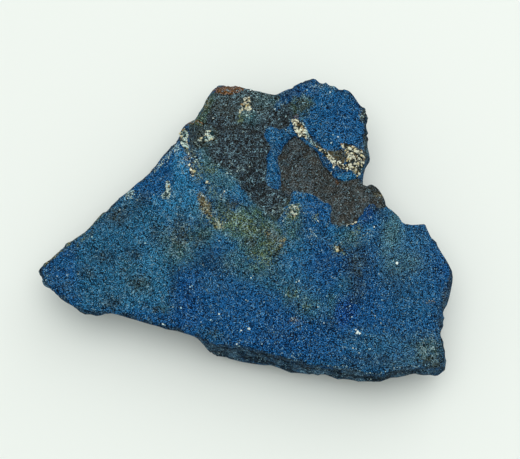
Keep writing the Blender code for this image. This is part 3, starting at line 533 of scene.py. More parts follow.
    ("olive", 0.60, 250, 228, 15, 9, 10), ("olive", 0.45, 262, 258, 14, 9, 0), ("moss", 0.35, 232, 262, 10, 12, 0), ("olive", 0.60, 206, 207, 5, 12, -20),
    ("olive", 0.40, 196, 124, 8, 4, -10), ("olive", 0.40, 268, 248, 9, 10, 0),
    ("olive", 0.50, 290, 210, 7, 8, 0), ("olive", 0.45, 212, 170, 8, 6, 0),
    ("olive", 0.45, 240, 118, 5, 6, 0), ("olive", 0.35, 82, 240, 18, 2, -42),
    ("tan", 0.45, 205, 207, 3.0, 9, -20), ("umber", 0.6, 207, 208, 4, 10, -20), ("tan", 0.30, 168, 191, 3, 6, 0),
    ("tan", 0.20, 444, 294, 3, 8, 0), ("tan", 0.35, 428, 301, 5, 2.5, 0),
    ("tan", 0.30, 296, 321, 6, 4, 0), ("tan", 0.55, 281, 243, 3, 4, 0),
    ("tan", 0.35, 268, 233, 8, 5, 20), ("tan", 0.30, 380, 194, 5, 5, 40),
    ("tan", 0.45, 219, 224, 5, 4, 20), ("tan", 0.40, 207, 105, 3, 12, 20),
    ("rust", 0.50, 296.5, 117, 3.5, 3, 20), ("rust", 0.45, 337, 180.5, 1.5, 2.6, 0),
    ("ochre", 0.55, 204, 204, 3, 8, -20), ("ochre", 0.40, 278, 241, 3, 4, -20),
    ("frost", 0.50, 238, 343, 4, 2, 20), ("frost", 0.55, 244, 133, 2, 2, 0),
    ("speck", 0.65, 104, 258, 12, 8, 0), ("speck", 0.60, 87, 271, 9, 6, 0),
    ("speck", 0.60, 133, 252, 9, 9, 0), ("speck", 0.75, 139, 283, 9, 8, 0),
    ("speck", 0.75, 114, 301, 8, 9, 30), ("speck", 0.60, 155, 235, 6, 13, -15),
    ("speck", 0.40, 92, 309, 9, 3.5, 5), ("speck", 0.45, 138, 205, 12, 6, -20),
    ("speck", 0.28, 110, 240, 26, 18, -20), ("speck", 0.24, 125, 285, 34, 24, 0),
    ("speck", 0.55, 173, 280, 4, 10, 0), ("speck", 0.60, 203, 238, 5, 7, 0),
    ("speck", 0.50, 250, 240, 7, 8, 0), ("speck", 0.55, 272, 252, 5, 7, 0),
    ("speck", 0.45, 355, 265, 9, 18, 0), ("speck", 0.35, 395, 275, 14, 18, 0),
    ("speck", 0.45, 430, 350, 16, 16, 0), ("speck", 0.50, 286, 112, 8, 9, 0),
    ("speck", 0.70, 231, 203, 3, 3, 0), ("speck", 0.55, 349, 240, 3, 2, 0),
    ("speck", 0.55, 181, 236, 7, 10, 0), ("speck", 0.50, 244, 183, 8, 9, 0),
]

# Thin lines: colour, strength, half width in steps, points.
LINES = [
    ("navy", 0.75, 1.8, [(292, 89), (300, 84), (310, 81), (322, 85), (335, 91), (350, 94), (358, 103), (365, 111)]),
    ("frost", 0.50, 0.9, [(322, 157), (326, 161), (330, 164)]),
    ("cream", 0.55, 1.0, [(187, 148), (190, 156), (190, 165), (192, 176)]),
    ("tan", 0.80, 1.6, [(46, 262), (58, 251), (70, 241), (82, 233), (94, 222), (104, 211)]),
    ("olive", 0.80, 2.2, [(44, 264), (58, 252), (70, 242), (82, 234), (94, 223), (106, 210)]),
    # the gap lines paint the dark shade of the undercut just under the near rim
    ("gap", 0.95, 0.9, [(238, 349), (243, 352.5), (250, 353), (267, 354), (280, 357), (293, 360.5)]),
    ("gap", 0.80, 0.8, [(300, 364.5), (307, 367), (317, 369), (325, 370), (338, 369), (350, 370), (357, 371)]),
    ("gap", 0.90, 0.9, [(363, 376), (370, 378), (376, 378.5), (383, 376.5), (392, 372.5), (400, 370.5)]),
    ("gap", 0.70, 0.7, [(207, 349), (218, 348), (228, 348)]),
    # these frost lines along the near rim are a painted highlight on the rim's edge
    ("frost", 0.50, 0.7, [(280, 353), (293, 356.5), (300, 360), (307, 363.5), (317, 365.5)]),
    ("frost", 0.75, 0.7, [(325, 366.5), (338, 365.5), (350, 366.5), (357, 368), (363, 371.5), (370, 373.5)]),
    ("frost", 0.75, 0.6, [(376, 374.5), (383, 372.5), (392, 368.5), (400, 366.5), (412, 365.5), (419, 366.5)]),
    ("cream", 0.55, 0.8, [(199, 195), (203, 199), (205, 205), (209, 212), (211, 217)]),
    ("umber", 0.75, 1.1, [(198, 197), (203, 198), (204, 204), (207, 209), (210, 214), (211, 219)]),
    ("cream", 0.75, 0.7, [(201, 199), (204, 201), (206, 207)]),
    ("tan", 0.60, 0.9, [(224, 190), (223, 195), (221, 199)]),
    ("rust", 0.60, 1.0, [(186, 125), (192, 122.5), (199, 120.5), (203, 123)]),
    ("umber", 0.85, 1.2, [(188, 134), (190, 141), (192, 150), (194, 156)]),
    ("rust", 0.40, 0.8, [(320, 148.5), (327, 150), (333, 156), (338, 162)]),
    ("cream", 1.20, 2.4, [
        (319, 147), (324, 152), (329, 157), (333, 161), (339, 164), (348, 169)]),
    ("frost", 0.9, 1.2, [(306, 133), (309, 138), (314, 143), (319, 148)]),
    ("frost", 0.9, 1.2, [(303, 123), (306, 129), (309, 136)]),
    ("cream", 0.9, 0.9, [(334, 165), (333, 169), (331, 174)]),
    ("cream", 0.9, 0.8, [(347, 226), (352, 224), (357, 221)]),
    ("cream", 0.7, 0.7, [(222, 199), (223, 195), (225, 191)]),
    ("cream", 0.8, 0.8, [(210, 183.5), (206, 183), (208, 181)]),
    ("frost", 0.75, 0.7, [(310, 229), (314, 234), (319, 240)]),
    ("frost", 0.65, 0.7, [(301, 211), (306, 214), (313, 213), (316, 217)]),
    ("frost", 0.60, 0.7, [(355, 240), (361, 236), (367, 234), (369, 231)]),
    ("frost", 0.75, 0.6, [(229, 160), (232, 164), (234, 166)]),
    ("frost", 0.65, 0.6, [(219, 228), (222, 224), (228, 221)]),
    ("frost", 0.60, 0.7, [(232, 219), (240, 222), (247, 226)]),
    ("frost", 0.65, 0.8, [(266, 218), (270, 224), (273, 229)]),
    ("frost", 0.70, 0.7, [(362.5, 165), (361, 172), (361, 180), (363, 184)]),
    # these two frost lines on the bare patch's edge are a painted highlight on the crust's raised rim
    ("frost", 0.55, 0.6, [(293, 192), (302, 193), (311, 194.5), (318, 198.5), (326, 202)]),
    ("frost", 0.45, 0.6, [(331, 205), (332, 211), (330, 217)]),
    # most navy lines below follow the drafted cracks and the bare patch's edge: painted shade in the cracks and under
    # the crust's step
    ("navy", 0.80, 0.9, [(243, 197), (250, 205), (257, 212), (263, 218)]),
    ("navy", 0.80, 0.8, [(271, 334), (278, 331.5), (285, 334), (291, 336), (296, 341)]),
    ("navy", 0.70, 0.9, [(50, 277), (58, 277)]),
    ("navy", 0.70, 0.9, [(52, 286), (60, 287), (68, 286)]),
    ("navy", 0.60, 0.8, [(70, 257), (80, 257)]),
    ("navy", 0.65, 0.9, [(176, 222), (173, 240), (171, 262), (172, 285)]),
    ("navy", 0.80, 0.8, [(337, 169), (343, 171), (349, 172)]),
    ("navy", 0.85, 0.9, [(280, 140), (286, 138), (292, 136), (298, 137.5), (305, 142)]),
    ("navy", 0.75, 0.8, [(366, 205), (362, 211), (359, 217)]),
    ("navy", 0.80, 0.9, [(331, 224), (336, 227), (343, 228), (350, 226)]),
    ("navy", 0.60, 0.8, [(172, 179), (171, 187), (173, 195)]),
]

# Cracks (-) and crests (+) of the surface: height, half width in steps, points.
CRACKS = [
    (-0.10, 1.6, [(177, 208), (173, 225), (172, 245), (171, 265), (173, 285), (176, 305), (178, 326)]),
    (-0.12, 1.0, [(243, 197), (250, 205), (257, 212), (264, 219)]),
    (-0.10, 0.9, [(271, 334), (278, 331.5), (285, 334), (291, 336), (296, 341)]),
    (-0.08, 1.0, [(50, 277), (58, 277), (68, 280)]),
    (-0.10, 1.2, [(50, 286), (60, 287), (70, 286), (80, 289)]),
    (0.10, 1.5, [(193, 275), (200, 270), (206, 273), (212, 268), (219, 272), (226, 277)]),
    (-0.12, 1.2, [(196, 262), (204, 270), (211, 263), (218, 270)]),
    (-0.10, 1.0, [(337, 169), (343, 171), (349, 172), (355, 176)]),
    (0.16, 1.6, [(320, 149), (325, 153), (330, 158), (335, 163), (341, 166), (348, 171)]),
    (0.10, 1.0, [(293, 193.5), (302, 194.5), (311, 196), (318, 200), (326, 204)]),
    (0.10, 1.0, [(267, 131), (269, 143), (268, 157), (268, 170), (268, 182)]),
    (-0.08, 1.2, [(225, 281), (235, 279), (246, 283)]),
    (-0.07, 1.0, [(350, 240), (357, 240), (364, 236), (369, 232)]),
    (0.10, 1.2, [(310, 229), (314, 234), (319, 240)]),
    (-0.10, 1.2, [(186, 208), (186, 216), (180, 222)]),
    (-0.10, 1.1, [(160, 172), (171, 178), (172, 190), (173, 204)]),
    (-0.08, 1.0, [(222, 286), (232, 292), (241, 289), (250, 286)]),
    (-0.06, 1.0, [(183, 290), (190, 300), (196, 315)]),
    (0.07, 1.4, [(120, 245), (131, 241), (143, 247), (152, 246)]),
    (-0.08, 1.2, [(352, 299), (358, 302), (364, 299)]),
    (-0.10, 1.1, [(366, 105), (364, 118), (365, 130), (363, 142)]),
    (-0.08, 1.0, [(436, 288), (437, 300), (434, 315), (437, 330)]),
    (0.12, 1.3, [(224, 171), (230, 171), (233, 174), (230, 177)]),
]

# Single pale flecks that stand out: (u, v), size in steps.
FLECKS = [
    (249, 329, 4.2), (241, 330.5, 2.6), (240, 332, 1.8), (357.5, 332, 5.2), (356, 330, 3.2), (359.5, 333.5, 3.0),
    (397, 263.5, 3.0), (393, 261, 1.6), (219, 314, 2.2), (173, 307, 2.0), (181, 308, 2.0), (350, 306, 1.6),
    (381, 323, 2.4), (382, 300, 1.8), (324, 323, 2.2), (375, 316, 1.7), (352, 317, 1.5), (353, 348, 2.2),
    (356, 349, 1.6), (359, 353, 1.6), (370, 349, 2.0), (251, 278, 2.0), (253, 276, 1.7), (190, 287, 1.8),
    (192, 286, 1.6), (207, 290, 1.6), (219, 241, 2.0), (218, 286, 1.4), (299, 281, 2.4), (296, 282, 1.8),
    (286, 295, 1.8), (298, 296, 1.8), (318, 307, 1.5), (327, 296, 2.0), (306, 298, 1.5), (262, 344, 1.8),
    (237, 344, 2.6), (239, 346, 2.0), (219, 353, 1.8), (163, 324, 2.0), (165, 325, 1.5), (57, 276, 1.7),
    (67, 275, 1.8), (78, 274, 1.6), (47, 276, 1.6), (46, 280, 1.5), (92, 237, 2.0), (120, 210, 1.8),
    (141, 258, 1.8), (145, 243, 1.7), (177, 214, 1.8), (181, 252, 2.0), (178, 252, 1.5), (283, 221, 2.2),
    (318, 221, 2.2), (310, 229, 2.2), (336, 242, 2.0), (379, 274, 2.0), (384, 331, 1.7), (371, 217, 1.9),
    (374, 227, 2.2), (237, 171, 2.0), (213, 118, 2.2), (226, 105, 1.8), (203, 196, 2.4), (330, 92, 2.6),
    (338, 137, 2.6), (333, 135, 1.8), (331, 143, 1.8), (315, 143, 2.0), (322, 104, 1.8), (307, 90, 1.8),
    (286, 116, 2.0), (275, 109, 2.2), (254, 111, 1.8), (258, 112, 1.6), (251, 90, 2.6), (248, 91, 2.0),
    (203, 265, 1.3), (211, 320, 1.4), (217, 323, 1.4), (201, 322, 1.4), (248, 301, 1.4), (246, 300, 1.4),
    (264, 302, 1.2), (277, 317, 1.4), (292, 318, 1.5), (301, 323, 1.4), (299, 341, 1.3), (274, 332, 1.4),
    (332, 277, 1.5), (335, 278, 1.4), (322, 250, 1.4), (410, 279, 1.2), (417, 243, 1.5), (434, 299, 1.3),
    (343, 348, 1.6), (345, 347, 1.5), (283, 280, 1.3), (240, 211, 2.0), (232, 219, 1.6), (150, 198, 1.4),
    (154, 195, 1.4), (225, 153, 1.4), (229, 139, 1.4), (296, 166, 1.8), (284, 160, 1.2), (278, 197, 1.6),
    (341, 205, 1.3), (349, 193, 1.4), (358, 192, 1.3), (402, 373, 1.5), (417, 373, 1.6), (371, 379, 1.7),
    (394, 368, 1.5), (434, 349, 1.5), (424, 343, 1.4), (430, 338, 1.3), (126, 270, 1.2), (105, 284, 1.2),
]


# ---------------------------------------------------------------- drafting
def on_height(u, v, z):
    """The plan position, in millimetres, of the sheet's point (u, v) carried down its line of sight to height z."""
    cos_e, sin_e = math.cos(EYE_ELEVATION), math.sin(EYE_ELEVATION)
    step = DRAFT_STEP / EYE_DISTANCE
    right = (np.asarray(u, float) - SHEET_MIDDLE[0]) * step
    up = (SHEET_MIDDLE[1] - np.asarray(v, float)) * step
    ray_y, ray_z = cos_e + up * sin_e, -sin_e + up * cos_e
    along = (z - EYE[2]) / ray_z
    return EYE_TARGET[0] + right * along, EYE[1] + ray_y * along


def on_sheet(points):
    """The sheet's (u, v) for points in millimetres."""
    cos_e, sin_e = math.cos(EYE_ELEVATION), math.sin(EYE_ELEVATION)
    step = DRAFT_STEP / EYE_DISTANCE
    away = points - EYE
    depth = away[:, 1] * cos_e - away[:, 2] * sin_e
    up = away[:, 1] * sin_e + away[:, 2] * cos_e
    return (
        SHEET_MIDDLE[0] + away[:, 0] / depth / step,
        SHEET_MIDDLE[1] - up / depth / step,
    )


EYE = np.array([
    EYE_TARGET[0],
    EYE_TARGET[1] - EYE_DISTANCE * math.cos(EYE_ELEVATION),
    EYE_TARGET[2] + EYE_DISTANCE * math.sin(EYE_ELEVATION),
])


def smooth(x):
    x = np.clip(x, 0.0, 1.0)
    return x * x * (3.0 - 2.0 * x)


# ---------------------------------------------------------------- repeatable noise
def lattice(i, j, k, seed):
    """A repeatable number from 0 to 1 for each whole-numbered point."""
    mask = np.int64(0xFFFFFFFF)
    h = (i * 73856093) ^ (j * 19349663) ^ (k * 83492791) ^ (seed * 40503 + 977)
    h &= mask
    h = ((h ^ (h >> 15)) * 2246822519) & mask
    h = ((h ^ (h >> 13)) * 3266489917) & mask
    return (h ^ (h >> 16)) / 4294967296.0


def waves(points, size, seed):
    """Smooth noise, -1 to 1, with features of the given size."""
    p = points / size
    base = np.floor(p).astype(np.int64)
    f = p - base
    f = f * f * f * (f * (f * 6 - 15) + 10)
    total = np.zeros(len(points))
    for di in (0, 1):
        wi = f[:, 0] if di else 1 - f[:, 0]
        for dj in (0, 1):
            wj = f[:, 1] if dj else 1 - f[:, 1]
            for dk in (0, 1):
                wk = f[:, 2] if dk else 1 - f[:, 2]
                value = lattice(base[:, 0] + di, base[:, 1] + dj, base[:, 2] + dk, seed)
                total += wi * wj * wk * value
    return total * 2 - 1


def layered(points, size, seed, octaves=3, gain=0.5):
    total, share, weight = np.zeros(len(points)), 1.0, 0.0
    for octave in range(octaves):
        total += share * waves(points, size * 0.5**octave, seed + octave * 17)
        weight += share
        share *= gain
    return total / weight


def grains(points, size, seed):
    """Each point's nearest grain: distance over size, gap to the next grain, the grain's random number and its offset."""
    p = points / size
    base = np.floor(p).astype(np.int64)
    first = np.full(len(points), 9.0)
    second = np.full(len(points), 9.0)
    number = np.zeros(len(points))
    offset = np.zeros((len(points), 3))
    for di in (-1, 0, 1):
        for dj in (-1, 0, 1):
            for dk in (-1, 0, 1):
                i, j, k = base[:, 0] + di, base[:, 1] + dj, base[:, 2] + dk
                away = np.stack([
                    i + lattice(i, j, k, seed) - p[:, 0],
                    j + lattice(i, j, k, seed + 1) - p[:, 1],
                    k + lattice(i, j, k, seed + 2) - p[:, 2],
                ], axis=1)
                gap = np.sqrt((away * away).sum(axis=1))
                nearer = gap < first
                second = np.where(nearer, first, np.minimum(second, gap))
                number = np.where(nearer, lattice(i, j, k, seed + 3), number)
                offset[nearer] = away[nearer]
                first = np.where(nearer, gap, first)
    return first, second - first, number, offset


def roughness(points, size, seed):
    """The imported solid's broken-rock noise."""
    shift = Vector((seed * 7.3, seed * 3.1, seed * 5.7))
    return np.array([
        noise.noise(Vector(p) / size + shift) + 0.5 * noise.noise(Vector(p) / (size * 0.45) + shift)
        for p in points
    ])


# ---------------------------------------------------------------- figures on the sheet
def inside_by(u, v, corners):
    """How far inside a closed figure each point is, in steps, negative outside it."""
    corners = np.array(corners, float)
    inside = np.zeros(len(u), bool)
    nearest = np.full(len(u), 1e9)
    for (au, av), (bu, bv) in zip(corners, np.roll(corners, -1, axis=0)):
        if av != bv:
            inside ^= ((av > v) != (bv > v)) & (u < (bu - au) * (v - av) / (bv - av) + au)
        nearest = np.minimum(nearest, from_line(u, v, au, av, bu, bv))
    return np.where(inside, nearest, -nearest)


def from_line(u, v, au, av, bu, bv):
    share = ((u - au) * (bu - au) + (v - av) * (bv - av)) / max((bu - au) ** 2 + (bv - av) ** 2, 1e-9)
    share = np.clip(share, 0, 1)
    return np.hypot(u - au - share * (bu - au), v - av - share * (bv - av))


def from_path(u, v, path):
    gap = np.full(len(u), 1e9)
    for (au, av), (bu, bv) in zip(path[:-1], path[1:]):
        gap = np.minimum(gap, from_line(u, v, au, av, bu, bv))
    return gap


def near(u, v, corners, reach):
    """Indices of the points within reach of the figure's box."""
    corners = np.array(corners, float)
    low, high = corners.min(axis=0) - reach, corners.max(axis=0) + reach
    return np.nonzero((u > low[0]) & (u < high[0]) & (v > low[1]) & (v < high[1]))[0]


def wander(u, v, seed):
    """The sheet's points moved a little by noise, so that no drafted edge stays straight."""
    flat = np.stack([u, v, np.full(len(u), seed * 1.7)], axis=1)
    du = 2.0 * waves(flat, 7.5, seed) + 1.3 * waves(flat, 3.0, seed + 5) + 0.6 * waves(flat, 1.5, seed + 9)
    dv = 2.0 * waves(flat, 7.5, seed + 31) + 1.3 * waves(flat, 3.0, seed + 36) + 0.6 * waves(flat, 1.5, seed + 40)
    return u + du, v + dv


def masks_on(u, v):
    """For each colour named in the tables, how much of it lies at each point, 0 to 1."""
    wu, wv = wander(u, v, 3)
    su, sv = u + 0.45 * (wu - u), v + 0.45 * (wv - v)
    found = {name: np.zeros(len(u)) for name in COLOURS}
    for name, strength, edge, corners in FIGURES:
        k = near(u, v, corners, edge + 5)
        du, dv = (wu, wv) if edge > 3 else (su, sv)
        value = strength * smooth(0.5 + inside_by(du[k], dv[k], corners) / edge)
        found[name][k] = np.maximum(found[name][k], value)
    for name, strength, cu, cv, ru, rv, tilt in CLOUDS:
        turn = math.radians(tilt)
        a = ((wu - cu) * math.cos(turn) + (wv - cv) * math.sin(turn)) / ru
        b = ((wv - cv) * math.cos(turn) - (wu - cu) * math.sin(turn)) / rv
        value = strength * np.exp(-((a * a + b * b) ** 1.3) * 0.8)
        found[name] = np.maximum(found[name], value)
    for name, strength, width, path in LINES:
        k = near(u, v, path, 6 * width + 3)
        gap = from_path(su[k], sv[k], path) / width
        found[name][k] = np.maximum(found[name][k], strength * np.exp(-(gap**2)))
    return found


# ---------------------------------------------------------------- the stone's form, as packed
def stations(outline):
    points = np.array(outline, float)
    steps = np.hypot(*(np.roll(points, -1, axis=0) - points).T)
    along = np.concatenate([[0.0], np.cumsum(steps)])
    total = along[-1]
    rows = []
    for u, v, *values in WALL:
        nearest = int(np.argmin(np.hypot(points[:, 0] - u, points[:, 1] - v)))
        rows.append((along[nearest], *values))
    rows.sort()
    table = np.array(rows)
    table = np.vstack([table[-1] - [total, 0, 0, 0], table, table[0] + [total, 0, 0, 0]])
    return np.stack([np.interp(along[:-1], table[:, 0], table[:, k]) for k in (1, 2, 3)], axis=1)


class Contour:
    """The widest contour in plan, with the wall's numbers at each of its points."""

    def __init__(self):
        outline = LEFT_EDGE + FAR_EDGE + RIGHT_EDGE + NEAR_EDGE
        self.wall = stations(outline)
        u, v = np.array(outline, float).T
        x, y = on_height(u, v, self.wall[:, 0])
        self.points = np.stack([x, y], axis=1)
        ahead = np.roll(self.points, -1, axis=0) - self.points
        self.ahead, self.length = ahead, np.hypot(*ahead.T)
        self.inward = np.stack([ahead[:, 1], -ahead[:, 0]], axis=1) / self.length[:, None]
        self.next_wall = np.roll(self.wall, -1, axis=0)
        along = np.cumsum(self.length) - self.length
        apart = np.abs(along[:, None] - along[None, :])
        apart = np.minimum(apart, self.length.sum() - apart)
        weight = np.exp(-((apart / SOFTEN) ** 2)) * self.length
        self.soften = weight @ self.points / weight.sum(axis=1, keepdims=True) - self.points
        self.next_soften = np.roll(self.soften, -1, axis=0)

    def read(self, x, y):
        """Distance to the contour, the wall's numbers, the inward direction and the step to the softened contour."""
        distance = np.empty(len(x))
        numbers = np.empty((len(x), 3))
        inward = np.empty((len(x), 2))
        soften = np.empty((len(x), 2))
        for start in range(0, len(x), 4000):
            part = slice(start, start + 4000)
            px, py = x[part, None] - self.points[:, 0], y[part, None] - self.points[:, 1]
            share = (px * self.ahead[:, 0] + py * self.ahead[:, 1]) / self.length**2
            share = np.clip(share, 0.0, 1.0)
            dx, dy = px - share * self.ahead[:, 0], py - share * self.ahead[:, 1]
            squared = dx * dx + dy * dy
            weight = self.length / (squared + 0.35**2) ** 3
            weight /= weight.sum(axis=1, keepdims=True)
            distance[part] = np.sqrt(squared.min(axis=1))
            for k in range(3):
                values = self.wall[:, k] * (1 - share) + self.next_wall[:, k] * share
                numbers[part, k] = (weight * values).sum(axis=1)
            for k in range(2):
                values = self.soften[:, k] * (1 - share) + self.next_soften[:, k] * share
                soften[part, k] = (weight * values).sum(axis=1)
            inward[part] = weight @ self.inward
        inward /= np.hypot(*inward.T)[:, None] + 1e-9
        return distance, numbers, inward, soften


def sunk(x, y, corners, edge):
    """1 on a lower patch of the top face, 0 on the crust round it, with a ragged edge of the given width."""
    u, v = on_sheet(np.stack([x, y, np.full(len(x), TOP)], axis=1))
    wu, wv = wander(u, v, 3)
    u, v = u + 0.45 * (wu - u), v + 0.45 * (wv - v)
    value = np.zeros(len(x))
    k = near(u, v, corners, edge / DRAFT_STEP + 2)
    value[k] = smooth(0.5 + inside_by(u[k], v[k], corners) * DRAFT_STEP / edge)
    return value


def top_height(x, y):
    height = TOP + TOP_SLOPE_X * x + TOP_SLOPE_Y * y
    for u, v, ru, rv, rise in SWELLS:
        cx, cy = on_height(u, v, TOP)
        rx, ry = ru * DRAFT_STEP, rv * DRAFT_STEP
        height = height + rise * np.exp(-(((x - cx) / rx) ** 2) - ((y - cy) / ry) ** 2)
    return height


def under_height(x, y):
    height = np.zeros(len(x))
    for fx, fy, dx, dy, slope in FACETS:
        height = np.maximum(height, slope * ((x - fx) * dx + (y - fy) * dy))
    return height


def within_outline(points, distance):
    """Draws back the points that show past the drafted outline, along the sheet, so that its notches stay open."""
    outline = np.array(LEFT_EDGE + FAR_EDGE + RIGHT_EDGE + NEAR_EDGE, float)
    k = np.nonzero(distance < 1.6)[0]
    u, v = on_sheet(points[k])
    best = np.full(len(k), 1e9)
    to_u, to_v = u.copy(), v.copy()
    inside = np.zeros(len(k), bool)
    for (au, av), (bu, bv) in zip(outline, np.roll(outline, -1, axis=0)):
        if av != bv:
            inside ^= ((av > v) != (bv > v)) & (u < (bu - au) * (v - av) / (bv - av) + au)
        share = ((u - au) * (bu - au) + (v - av) * (bv - av)) / ((bu - au) ** 2 + (bv - av) ** 2)
        share = np.clip(share, 0, 1)
        pu, pv = au + share * (bu - au), av + share * (bv - av)
        gap = np.hypot(u - pu, v - pv)
        nearer = gap < best
        best = np.where(nearer, gap, best)
        to_u, to_v = np.where(nearer, pu, to_u), np.where(nearer, pv, to_v)
    past = ~inside
    points[k[past], 0] += (to_u - u)[past] * DRAFT_STEP
    points[k[past], 1] -= (to_v - v)[past] * DRAFT_STEP / math.sin(EYE_ELEVATION)
    return points


# ---------------------------------------------------------------- modelling
def numbers_of(items, name, width=1):
    found = np.empty(len(items) * width, np.float32)
    items.foreach_get(name, found)
    return found.reshape(-1, width).astype(float) if width > 1 else found.astype(float)


def slab(contour):
    """The widest contour as a filled curve, extruded to a slab, as a mesh in millimetres."""
    curve = bpy.data.curves.new("outline", "CURVE")
    curve.dimensions = "2D"
    curve.fill_mode = "BOTH"
    curve.extrude = SLAB_HALF
    spline = curve.splines.new("POLY")
    spline.points.add(len(contour.points) - 1)
    for point, (x, y) in zip(spline.points, contour.points):
        point.co = (x, y, 0.0, 1.0)
    spline.use_cyclic_u = True
    outline = bpy.data.objects.new("outline", curve)
    bpy.context.scene.collection.objects.link(outline)
    bpy.context.view_layer.update()
    mesh = bpy.data.meshes.new_from_object(
        outline.evaluated_get(bpy.context.evaluated_depsgraph_get())
    )
    bpy.data.objects.remove(outline, do_unlink=True)
    bpy.data.curves.remove(curve)
    bm = bmesh.new()
    bm.from_mesh(mesh)
    bmesh.ops.remove_doubles(bm, verts=bm.verts, dist=1e-4)
    bmesh.ops.recalc_face_normals(bm, faces=bm.faces)
    bm.to_mesh(mesh)
    bm.free()
    return mesh


# Notches of the outline that run through the whole thickness: (u, v), reach in steps.
NOTCHES = [(364, 183, 13)]
NICK = 0.45  # how much wider each one is cut


def through_modifier(mesh, kind, **settings):
    """The mesh as one modifier leaves it."""
    obj = bpy.data.objects.new("passing", mesh)
    bpy.context.scene.collection.objects.link(obj)
    modifier = obj.modifiers.new("passing", kind)
    for key, value in settings.items():
        setattr(modifier, key, value)
    bpy.context.view_layer.update()
    made = bpy.data.meshes.new_from_object(
        obj.evaluated_get(bpy.context.evaluated_depsgraph_get())
    )
    bpy.data.objects.remove(obj, do_unlink=True)
    return made


def shape_stone(mesh, contour):
    """Moves each point of the slab to its place on the stone, and returns what the finish needs to know of it."""
    points = numbers_of(mesh.vertices, "co", 3)
    x, y = points[:, 0], points[:, 1]
    share = np.clip((points[:, 2] + SLAB_HALF) / (2 * SLAB_HALF), 0.0, 1.0)
    distance, wall, inward, soften = contour.read(x, y)
    widest, rim, foot = wall.T
    grey = sunk(x, y, GREY_PATCH, 0.5)
    bare = sunk(x, y, BARE_PATCH, BARE_EDGE)
    lower = np.maximum(BARE_DEPTH * bare, GREY_DEPTH * grey)
    top, under = top_height(x, y), under_height(x, y)
    turn = np.clip((widest - under) / (top - under), 0.05, 0.95)
    above = np.clip((share - turn) / (1 - turn), 0, 1)
    below = np.clip((turn - share) / turn, 0, 1)
    fall = np.clip(1 - distance / WALL_REACH, 0, 1) ** 2
    inset = (rim * above**1.6 + foot * below**1.4) * fall
    plain = fall * (0.55 * smooth(above / 0.8) + smooth(below / 0.6))
    seen_u, seen_v = on_sheet(np.stack([x, y, top], axis=1))
    for u, v, reach in NOTCHES:
        apart = (seen_u - u) ** 2 + (seen_v - v) ** 2
        plain *= 1 - np.exp(-((apart / reach**2) ** 2))
        inset = inset + NICK * np.exp(-apart / (0.45 * reach) ** 2) * np.clip(1.2 - distance, 0, 1)
    x = x + inward[:, 0] * inset + soften[:, 0] * plain
    y = y + inward[:, 1] * inset + soften[:, 1] * plain

    top, under = top_height(x, y), under_height(x, y)
    top = top - 0.30 * np.clip(1 - distance / 1.3, 0, 1) ** 2 - lower
    z = under + share * (top - under)
    placed = np.stack([x, y, z], axis=1)
    for u, v, height, heading, dip in CHIPS:
        heading, dip = math.radians(heading), math.radians(dip)
        on_plane = np.array([*on_height(u, v, height), height])
        facing = np.array(
            [math.cos(heading) * math.cos(dip), math.sin(heading) * math.cos(dip), -math.sin(dip)]
        )
        away = placed - on_plane
        along = away[:, 1] * math.cos(heading) - away[:, 0] * math.sin(heading)
        beyond = np.clip(away @ facing - along**2 / CHIP_SPREAD, 0, None)
        placed -= beyond[:, None] * facing

    side = np.clip(1 - distance / 1.0, 0, 1) * smooth(share / 0.15) * smooth((1 - share) / 0.1)
    rough = roughness(placed, 2.6, 1)
    placed[:, :2] += inward * (ROUGH * side * rough)[:, None]
    lifted = np.clip(placed[:, 2] / 0.8, 0, 1) * (1 - smooth(share / 0.5))
    crust = smooth((share - 0.6) / 0.4)
    placed[:, 2] += ROUGH * rough * lifted * 0.8 + 0.10 * rough * crust
    resting = placed[:, 2] < REST_BAND
    placed[resting, 2] = 0.0
    mesh.vertices.foreach_set("co", placed.astype(np.float32).ravel())
    mesh.update()
    return placed, share, distance, inward, resting


